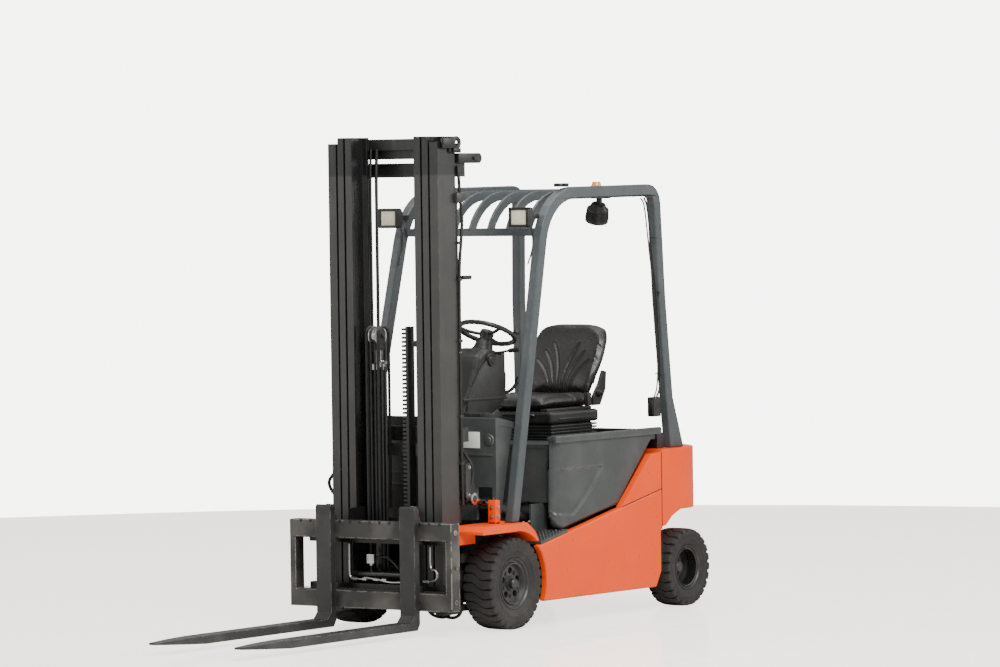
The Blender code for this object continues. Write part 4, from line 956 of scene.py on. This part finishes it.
# ---------------------------------------------------------------- guard trim and lamps
def headlamp(label, side):
    """Case with its bezel, back, arm and cable, and a ribbed lens."""
    node = "headlamp_" + label
    low, high = local_box(node)
    x, z, y = (low.x + high.x) / 2, (low.z + high.z) / 2, low.y
    bezel = 0.014
    lamp = Shape()
    lamp.box((low.x + 0.001, high.x - 0.001), (y + 0.014, y + 0.050), (low.z, high.z), ease=0.012)
    for edge in (low.x + 0.001, high.x - 0.001 - bezel):
        lamp.box((edge, edge + bezel), (y, y + 0.022), (low.z, high.z), ease=0.005)
    for edge in (low.z, high.z - bezel):
        lamp.box((low.x + 0.001, high.x - 0.001), (y, y + 0.022), (edge, edge + bezel), ease=0.005)
    lamp.box((low.x + 0.016, high.x - 0.016), (y + 0.045, y + 0.078),
             (low.z + 0.014, high.z - 0.014), ease=0.012)
    lamp.box((x - 0.012, x + 0.012), (y + 0.070, high.y), (z - 0.010, z + 0.014), ease=0.003)
    lamp.tube([(x, y + 0.080, z - 0.020), (x + 0.006, y + 0.110, z - 0.070),
               (x + 0.004, y + 0.118, z - 0.150), (x - side * 0.004, y + 0.086, z - 0.235)], 0.004)
    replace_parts(lamp.done(node + "_case", "black", "root"), node)
    lens = Shape()
    lens.box((low.x + 0.013, high.x - 0.013), (y + 0.006, y + 0.016),
             (low.z + 0.012, high.z - 0.012), ease=0.002)
    for k in range(9):
        step = low.x + 0.020 + k * (high.x - low.x - 0.040) / 8
        lens.rod((step, y + 0.0068, low.z + 0.016), (step, y + 0.0068, high.z - 0.016), 0.0022, 8)
    lens.done(node + "_lens", "lens", "root")


def guard_trim():
    for label, side in SIDES:
        headlamp(label, side)

    low, high = local_box("rear_lamp")
    x, y = (low.x + high.x) / 2, (low.y + high.y) / 2 - 0.004
    top = high.z
    lamp = Shape()
    lamp.box((x - 0.045, x + 0.050), (y - 0.020, y + 0.034), (top - 0.012, top), ease=0.003)
    lamp.box((x - 0.012, x + 0.012), (y - 0.012, y + 0.012), (top - 0.050, top - 0.008), ease=0.003)
    aim = Vector((-0.35, 0.30, -1.0)).normalized()
    base = Vector((x - 0.004, y - 0.002, top - 0.040))
    fins = [(0.028 + k * 0.008, 0.031 + k * 0.008, 0.0575 + k * 0.0007, None) for k in range(7)]
    lamp.stack(base, aim, [(0.000, 0.030, 0.036, 0.052), (0.030, 0.082, 0.052, 0.058),
                           (0.082, 0.096, 0.060, 0.060), *fins])
    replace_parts(lamp.done("rear_lamp_case", "black", "root"), "rear_lamp")

    top = local_box("guard_left")[1].z
    trim = Shape()
    for shift in (0.0, 0.055):
        trim.box((0.392, 0.428), (0.560 + shift, 0.596 + shift), (top - 0.006, top + 0.012),
                 ease=0.006)
    trim.done("roof_bumps", "black", "root")
    light = Shape()
    light.stack((0.10, 1.386, 2.158), (0, 0, 1),
                ((0.0, 0.018, 0.030, 0.028), (0.018, 0.038, 0.026, 0.020)), 28)
    light.done("beacon", "amber", "root")


# ---------------------------------------------------------------- mast trim
def mast_straps():
    """Eye, straps and clamps on the left of the outer mast."""
    top = local_box("mast_outer")[1].z
    strap = Shape()
    strap.box((0.322, 0.342), (-0.262, -0.196), (top - 0.050, top - 0.006), ease=0.003)
    eye, turns = 0.024, 24
    ring = [(0.346, -0.209 + eye * math.cos(a), top - 0.004 + eye * math.sin(a))
            for a in (math.tau * k / turns for k in range(turns + 1))]
    strap.tube(ring, 0.0100, 12, 2)
    strap.box((0.338, 0.354), (-0.330, -0.238), (top - 0.030, top + 0.020), ease=0.004)
    strap.box((0.338, 0.354), (-0.240, -0.178), (top - 0.052, top - 0.030), ease=0.004)
    strap.box((0.300, 0.346), (-0.190, -0.016), (2.296, 2.346), ease=0.004)
    strap.rod((0.300, -0.020, 2.321), (0.348, -0.020, 2.321), 0.025, 24)
    strap.bolt((0.346, -0.060, 2.321), (1, 0, 0), 0.009)
    for z in (0.34, 2.105):
        strap.box((0.334, 0.354), (-0.220, -0.165), (z, z + 0.045), ease=0.003)
    strap.done("mast_straps", "mast", "mast_outer")


def mast_hoses():
    """Hoses down both sides of the outer mast, with their clamps, plate and bolts."""
    hoses = Shape()
    hoses.tube([(0.339, -0.190, 2.285), (0.341, -0.184, 2.21), (0.340, -0.176, 2.13),
                (0.345, -0.168, 2.03), (0.344, -0.176, 1.92), (0.340, -0.186, 1.80),
                (0.339, -0.190, 1.60), (0.339, -0.190, 1.40), (0.340, -0.191, 1.05),
                (0.340, -0.190, 0.80), (0.341, -0.186, 0.62)], 0.0080)
    hoses.tube([(-0.339, -0.190, 2.20), (-0.341, -0.182, 1.90), (-0.339, -0.190, 1.40),
                (-0.340, -0.190, 0.95), (-0.360, -0.196, 0.82), (-0.430, -0.200, 0.765),
                (-0.466, -0.200, 0.715), (-0.440, -0.196, 0.660), (-0.376, -0.180, 0.610),
                (-0.345, -0.150, 0.57)], 0.0085)
    hoses.tube([(0.339, -0.160, 0.64), (0.352, -0.128, 0.72), (0.352, -0.118, 0.80),
                (0.340, -0.150, 0.86), (0.338, -0.186, 0.90)], 0.008)
    for x in (0.10, 0.16):
        hoses.tube([(x, -0.175, 0.120), (x + 0.03, -0.165, 0.075), (x + 0.09, -0.155, 0.062),
                    (x + 0.13, -0.150, 0.085), (x + 0.14, -0.150, 0.140)], 0.008)
    hoses.done("mast_hoses", "rubber", "mast_outer")
    clamps = Shape()
    for z in (2.14, 1.90, 1.72, 1.42, 1.05, 0.82):
        for side in (-1, 1):
            clamps.box(between(side, 0.332, 0.348), (-0.204, -0.176), (z, z + 0.014), ease=0.002)
    clamps.box((0.334, 0.350), (-0.170, -0.096), (1.726, 1.746), ease=0.003)
    clamps.prism([(-0.175, 0.820), (-0.118, 0.830), (-0.096, 0.802), (-0.122, 0.768),
                  (-0.128, 0.746), (-0.098, 0.712), (-0.092, 0.676), (-0.118, 0.650),
                  (-0.160, 0.640), (-0.175, 0.660)], "x", (0.346, 0.352), ease=0.001)
    clamps.done("hose_clamps", "dark", "mast_outer")
    pins = Shape()
    for z in (1.43, 1.37):
        pins.bolt((0.339, -0.190, z), (1, 0.3, 0), 0.007)
    for z in (0.668, 0.805):
        pins.bolt((0.352, -0.145, z), (1, 0, 0), 0.007)
    pins.done("mast_pins", "zinc", "mast_outer")


def inner_mast_trim():
    """Free-lift hoses, drag chain and gland on the inner mast."""
    fixed = Shape()
    for x, y in ((-0.140, -0.300), (-0.058, -0.300), (-0.046, -0.285)):
        fixed.tube([(x, y, 0.30), (x, y, 0.80), (x, y, 1.30)], 0.0075)
    for x, r in ((-0.140, 0.0085), (-0.176, 0.0065)):
        fixed.tube([(x, -0.211, 1.02), (x, -0.211, 1.60), (x, -0.211, 2.20),
                    (x + 0.004, -0.208, 2.372)], r)
    fixed.done("fixed_hoses", "rubber", "mast_inner")
    chain = Shape()
    chain.box((0.106, 0.122), (-0.326, -0.272), (0.240, 1.500), ease=0.002)
    pitch = 0.0205
    for k in range(61):
        z = 0.250 + k * pitch
        chain.box((0.080, 0.110), (-0.322, -0.276), (z, z + 0.0115), ease=0.0022)
    for z in (0.30, 1.40):
        chain.box((0.118, 0.186), (-0.312, -0.286), (z, z + 0.03), ease=0.002)
    chain.done("drag_chain", "rubber", "mast_inner")
    fit = Shape()
    x, y = -0.100, -0.275
    fit.stack((x, y, 1.286), (0, 0, 1), ((0, 0.026, 0.040, None), (0.026, 0.036, 0.030, 0.026)), 28)
    for k in range(6):
        a = math.tau * k / 6
        fit.bolt((x + 0.033 * math.cos(a), y + 0.033 * math.sin(a), 1.312), (0, 0, 1), 0.004)
    fit.rod((-0.066, -0.290, 1.322), (-0.030, -0.300, 1.322), 0.009, 14)
    fit.done("gland", "zinc", "mast_inner")


SHEAVE_Z = 1.452


def crosshead():
    """The free-lift rod, its sheave, and the chains and hoses that hang over it."""
    low, high = local_box("freelift_rod")
    x, y = (low.x + high.x) / 2, (low.y + high.y) / 2
    head = Shape()
    head.rod((x, y, low.z + 0.01), (x, y, 1.388), 0.0215, 32)
    piece = head.done("freelift_rod_bar", "chrome", "freelift_rod")
    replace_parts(piece, "freelift_rod")
    head = Shape()
    head.box((x - 0.030, x + 0.030), (y - 0.026, y + 0.026), (1.380, 1.415), ease=0.004)
    for side in (-1, 1):
        cheek = x + side * 0.026
        head.box((cheek - 0.004, cheek + 0.004), (y - 0.024, y + 0.024), (1.400, 1.476), ease=0.003)
        head.bolt((x + side * 0.030, y, SHEAVE_Z), (side, 0, 0), 0.010)
    head.done("crosshead", "dark", "freelift_rod")
    wheel = Shape()
    wheel.stack((x, y, SHEAVE_Z), (1, 0, 0), (
        (-0.021, -0.017, 0.049, None), (-0.017, 0.017, 0.040, None), (0.017, 0.021, 0.049, None)))
    wheel.done("sheave", "zinc", "freelift_rod")
    loop = Shape()
    for dx, r in ((-0.036, 0.0072), (-0.013, 0.0055), (0.013, 0.0055), (0.036, 0.0072)):
        reach = 0.040 if abs(dx) < 0.02 else 0.044
        points = [(x + dx, y - reach, z) for z in (0.46, 0.9, 1.42)]
        for k in range(1, 8):
            a = math.pi * k / 8
            points.append((x + dx, y - reach * math.cos(a), SHEAVE_Z + reach * math.sin(a)))
        points += [(x + dx, y + reach, z) for z in (1.42, 1.0, 0.60)]
        loop.tube(points, r, 8, 3)
    loop.done("lift_chains", "rubber", "freelift_rod")


def carriage_trim():
    """Black notches and two thin black lines on the face, all painted shade; bolts, sideshift
    cylinder and pipes, and the forks' locks.
    """
    low, high = local_box("sideshift_frame")
    face, top = low.y, high.z
    # Black boxes just proud of the top bar mark the notches, and two black strips cross the face:
    # painted shade, not cut recesses.
    shade_marks = Shape()
    for k in range(15):
        x = -0.42 + 0.06 * k
        shade_marks.box((x - 0.007, x + 0.007), (face - 0.0008, face + 0.012),
                  (top - 0.013, top + 0.0006))
    for z in (top - 0.088, low.z + 0.094):
        shade_marks.box((-0.470, 0.470), (face - 0.0006, face + 0.001), (z, z + 0.003))
    shade_marks.done("carriage_notch_shade", "grease_and_shade", "sideshift")
    bolts = Shape()
    for side in (-1, 1):
        for z in (low.z + 0.045, (low.z + top) / 2, top - 0.045):
            bolts.bolt((side * high.x, (low.y + high.y) / 2, z), (side, 0, 0), 0.009)
    bolts.done("carriage_bolts", "carriage", "sideshift")

    pipes = Shape()
    y = -0.4215
    pipes.tube([(-0.182, y, 0.432), (-0.182, y, 0.300), (-0.176, y, 0.268), (-0.150, y, 0.262),
                (-0.09, y, 0.258)], 0.005)
    pipes.tube([(-0.09, y, 0.268), (-0.02, y, 0.262), (0.06, y, 0.250), (0.15, y, 0.252)], 0.0055)
    pipes.tube([(0.306, y, 0.430), (0.306, y, 0.350), (0.314, y, 0.325), (0.334, y, 0.318),
                (0.348, y, 0.298), (0.340, y, 0.272), (0.310, y, 0.262), (0.280, y, 0.260)], 0.005)
    for x in (-0.152, -0.09, -0.02, 0.03, 0.28):
        pipes.rod((x - 0.014, y, 0.262), (x + 0.014, y, 0.260), 0.009, 6)
    pipes.box((-0.070, -0.025), (y - 0.012, y + 0.012), (0.340, 0.385), ease=0.003)
    pipes.rod((-0.048, y, 0.330), (-0.048, y, 0.344), 0.010, 16)
    pipes.done("shift_pipes", "zinc", "carriage")
    cylinder = Shape()
    cylinder.rod((-0.175, -0.4000, 0.285), (0.175, -0.4000, 0.285), 0.017, 28)
    cylinder.tube([(-0.048, y, 0.340), (-0.055, y + 0.01, 0.300), (-0.040, y + 0.02, 0.27)], 0.006)
    cylinder.tube([(0.10, -0.37, 0.29), (0.08, -0.39, 0.33), (0.02, -0.39, 0.37),
                   (-0.03, -0.41, 0.365)], 0.007)
    cylinder.done("shift_cylinder", "grease_and_shade", "carriage")
    for label, side in SIDES:
        low, high = local_box("fork_" + label)
        x = (low.x + high.x) / 2
        lock = Shape()
        lock.box((x - 0.020, x + 0.020), (high.y - 0.040, high.y - 0.002),
                 (high.z - 0.016, high.z - 0.002), ease=0.003)
        lock.rod((x, high.y - 0.022, high.z - 0.004), (x, high.y - 0.022, high.z), 0.009, 16)
        lock.done(f"fork_lock_{label}", "fork", f"fork_{label}")


# ---------------------------------------------------------------- driver's place
WHEEL_TILT = math.radians(25.0)
WHEEL_UP = Vector((0, math.sin(WHEEL_TILT), math.cos(WHEEL_TILT)))
WHEEL_HUB = Vector((0, 0.525, 1.440))


def steering_wheel():
    """Grip with finger waves, three spokes, hub and knob."""
    up, hub = WHEEL_UP, WHEEL_HUB
    turn = Matrix.Rotation(-WHEEL_TILT, 4, "X")

    def on(x, y, z=0.0):
        return tuple(hub + turn @ Vector((x, y, z)))

    wheel = Shape()
    radius, grip, steps, sides = 0.1425, 0.0125, 96, 14
    rings = []
    for k in range(steps):
        a = math.tau * k / steps
        grip_k = grip * (1.0 + 0.05 * math.cos(24 * a))
        circle = []
        for m in range(sides):
            b = math.tau * m / sides
            reach = radius + grip_k * math.cos(b)
            circle.append(wheel.bm.verts.new(spot(*on(reach * math.cos(a), reach * math.sin(a),
                                                      grip_k * math.sin(b)))))
        rings.append(circle)
    join_rings(wheel.bm, rings)
    for degrees in (92.0, 208.0, 332.0):
        a = math.radians(degrees)
        c, s = math.cos(a), math.sin(a)
        wheel.tube([on(0.020 * c, 0.020 * s, -0.010), on(0.060 * c, 0.060 * s, -0.012),
                    on(0.105 * c, 0.105 * s, -0.008), on(0.141 * c, 0.141 * s, 0.0)], 0.0085, 12)
    wheel.stack(hub, up, ((-0.040, -0.006, 0.030, 0.037), (-0.006, 0.010, 0.037, 0.033),
                          (0.010, 0.013, 0.024, 0.021)), 32)
    a = 0.6
    knob = Vector(on(radius * math.cos(a), radius * math.sin(a), 0.010))
    wheel.rod(knob, knob + up * 0.016, 0.008, 16)
    wheel.stack(knob, up, ((0.016, 0.024, 0.012, 0.018), (0.024, 0.038, 0.018, 0.018),
                           (0.038, 0.045, 0.018, 0.010)), 24)
    piece = wheel.done("steering_wheel_grip", "black", "steering_wheel")
    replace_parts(piece, "steering_wheel")


def column_trim():
    """Collar, cover, side caps, stalks and key switch of the steering column."""
    column = Shape()
    column.stack(WHEEL_HUB, WHEEL_UP, (
        (-0.150, -0.096, 0.062, 0.056), (-0.096, -0.050, 0.052, 0.042),
        (-0.050, -0.046, 0.044, 0.036)))
    column.box((-0.062, 0.062), (0.560, 0.596), (1.225, 1.345), ease=0.012)
    column.box((-0.050, 0.050), (0.592, 0.600), (1.250, 1.325), ease=0.003)
    for side in (-1, 1):
        column.prism([(0.190, 0.900), (0.230, 1.130), (0.330, 1.262), (0.420, 1.330),
                      (0.520, 1.330), (0.560, 1.230), (0.556, 1.120), (0.420, 0.980),
                      (0.300, 0.880)], "x", between(side, 0.080, 0.0895), ease=0.003)
        column.rod((side * 0.082, 0.430, 1.310), (side * 0.098, 0.430, 1.310), 0.036, 32, 0.032)
        column.rod((side * 0.098, 0.430, 1.310), (side * 0.102, 0.430, 1.310), 0.022, 24, 0.018)
        column.box(between(side, 0.080, 0.094), (0.180, 0.560), (1.108, 1.122), ease=0.003)
        column.prism([(0.330, 1.010), (0.470, 1.060), (0.520, 1.020), (0.500, 0.960),
                      (0.340, 0.930)], "x", between(side, 0.080, 0.100), ease=0.005)
        column.box(between(side, 0.082, 0.088), (0.300, 0.520), (1.060, 1.066), ease=0.001)
        for y, z in ((0.31, 1.10), (0.53, 1.14), (0.36, 0.86)):
            column.rod((side * 0.083, y, z), (side * 0.0865, y, z), 0.007, 14)
    for side, reach in ((1, 0.196), (-1, 0.190)):
        column.rod((side * 0.080, 0.470, 1.340), (side * 0.150, 0.500, 1.352), 0.006, 14)
        column.rod((side * 0.150, 0.500, 1.352), (side * reach, 0.520, 1.360), 0.011, 18, 0.013)
    column.tube([(0.060, 0.560, 1.130), (0.100, 0.585, 1.150), (0.130, 0.600, 1.190)], 0.009)
    column.rod((0.130, 0.600, 1.190), (0.136, 0.606, 1.216), 0.015, 20, 0.012)
    column.box((0.086, 0.132), (0.300, 0.400), (0.965, 1.010), ease=0.010)
    column.rod((0.132, 0.350, 0.985), (0.152, 0.352, 0.985), 0.020, 24, 0.016)
    column.done("column_trim", "black", "root")


def seat_trim():
    """Levers, bellows, runners, hinges and shell of the seat, all on the hood."""
    levers = Shape()
    levers.box((-0.345, -0.275), (0.640, 0.960), (0.888, 1.050), ease=0.014)
    levers.box((-0.350, -0.270), (0.700, 0.960), (1.046, 1.078), ease=0.012)
    for k in range(4):
        x, y = -0.338 + 0.018 * k, 0.660
        levers.tube([(x, y, 1.045), (x, y - 0.006, 1.075), (x, y - 0.014, 1.100)], 0.0035, 8)
        levers.rod((x, y - 0.014, 1.098), (x, y - 0.018, 1.122), 0.0075, 14, 0.0065)
    levers.done("lever_console", "black", "hood")

    fold = Shape()
    for k in range(5):
        z = 0.893 + k * 0.0155
        fold.box((-0.262, 0.262), (0.706, 1.124), (z, z + 0.010), ease=0.004)
    fold.done("bellows", "black", "hood")
    low, high = local_box("seat_base")
    runners = Shape()
    for side in (-1, 1):
        runners.box(between(side, 0.190, 0.232), (0.712, 1.118), (high.z - 0.002, high.z + 0.014),
                    ease=0.004)
        runners.box(between(side, 0.250, 0.274), (0.760, 1.090), (low.z + 0.018, low.z + 0.030),
                    ease=0.004)
    runners.tube([(-0.150, 0.700, high.z - 0.020), (-0.150, 0.672, high.z - 0.016),
                  (0.150, 0.672, high.z - 0.016), (0.150, 0.700, high.z - 0.020)], 0.006)
    runners.done("seat_runners", "black", "hood")
    links = Shape()
    for side in (-1, 1):
        x = side * 0.232
        links.prism([(1.120, 1.050), (1.190, 1.050), (1.240, 1.130), (1.250, 1.220), (1.216, 1.226),
                     (1.180, 1.160), (1.128, 1.100)], "x", (x - 0.007, x + 0.007), ease=0.002)
        cap = x + side * 0.026
        links.rod((x - 0.010, 1.172, 1.112), (cap, 1.172, 1.112), 0.022, 28, 0.019)
        links.rod((cap, 1.172, 1.112), (cap + side * 0.008, 1.172, 1.112), 0.013, 20, 0.010)
    links.box((0.236, 0.262), (1.040, 1.075), (1.052, 1.120), ease=0.006)
    links.done("seat_hinges", "black", "hood")
    skin = Shape()
    shell_low, shell_high = local_box("seat_back")
    skin.prism([(shell_low.y + 0.078, shell_low.z + 0.035),
                (shell_low.y + 0.098, shell_low.z + 0.035),
                (shell_high.y - 0.004, shell_high.z - 0.085),
                (shell_high.y - 0.018, shell_high.z - 0.075)], "x", (-0.170, 0.170), ease=0.006)
    skin.done("seat_shell", "black", "hood")


def pedal_trim():
    """Three pedals and the floor mat."""
    pedals = Shape()
    pedals.box((-0.345, 0.345), (0.050, 0.386), (0.6003, 0.606), ease=0.002)
    for x, w in ((0.200, 0.040), (-0.150, 0.045), (-0.250, 0.032)):
        pedals.box((x - w, x + w), (0.096, 0.108), (0.690, 0.760),
                   turn=Matrix.Rotation(math.radians(-28), 4, "X"), ease=0.003)
        pedals.tube([(x, 0.090, 0.720), (x, 0.066, 0.700), (x, 0.040, 0.690)], 0.008)
    pedals.done("pedals", "rubber", "root")


def greased_and_shaded_rails():
    """The mast's rubbed inner faces are black, greasy and partly painted shade between the
    channels, its tops blackened.
    """
    for name in ("mast_outer", "mast_middle", "mast_inner"):
        shown = frame["nodes"][name].data
        shown.materials.append(PAINT["grease_and_shade"])
        edge = 0.330 if name == "mast_outer" else 9.0
        for polygon in shown.polygons:
            place, way = polygon.center, polygon.normal
            # Sideways faces inside the mast get the black glossy finish: greasy where rubbed, and
            # painted shade in the channels between the stages.
            rubbed_and_shaded = abs(way.x) > 0.7 and abs(place.x) < edge
            if rubbed_and_shaded or place.z > 2.405:
                polygon.material_index = 1


# ---------------------------------------------------------------- run
camera()
studio()
carry_over()
wheels()
seat()
body_trim()
guard_trim()
mast_straps()
mast_hoses()
inner_mast_trim()
crosshead()
carriage_trim()
steering_wheel()
column_trim()
seat_trim()
pedal_trim()
greased_and_shaded_rails()

bpy.context.view_layer.update()
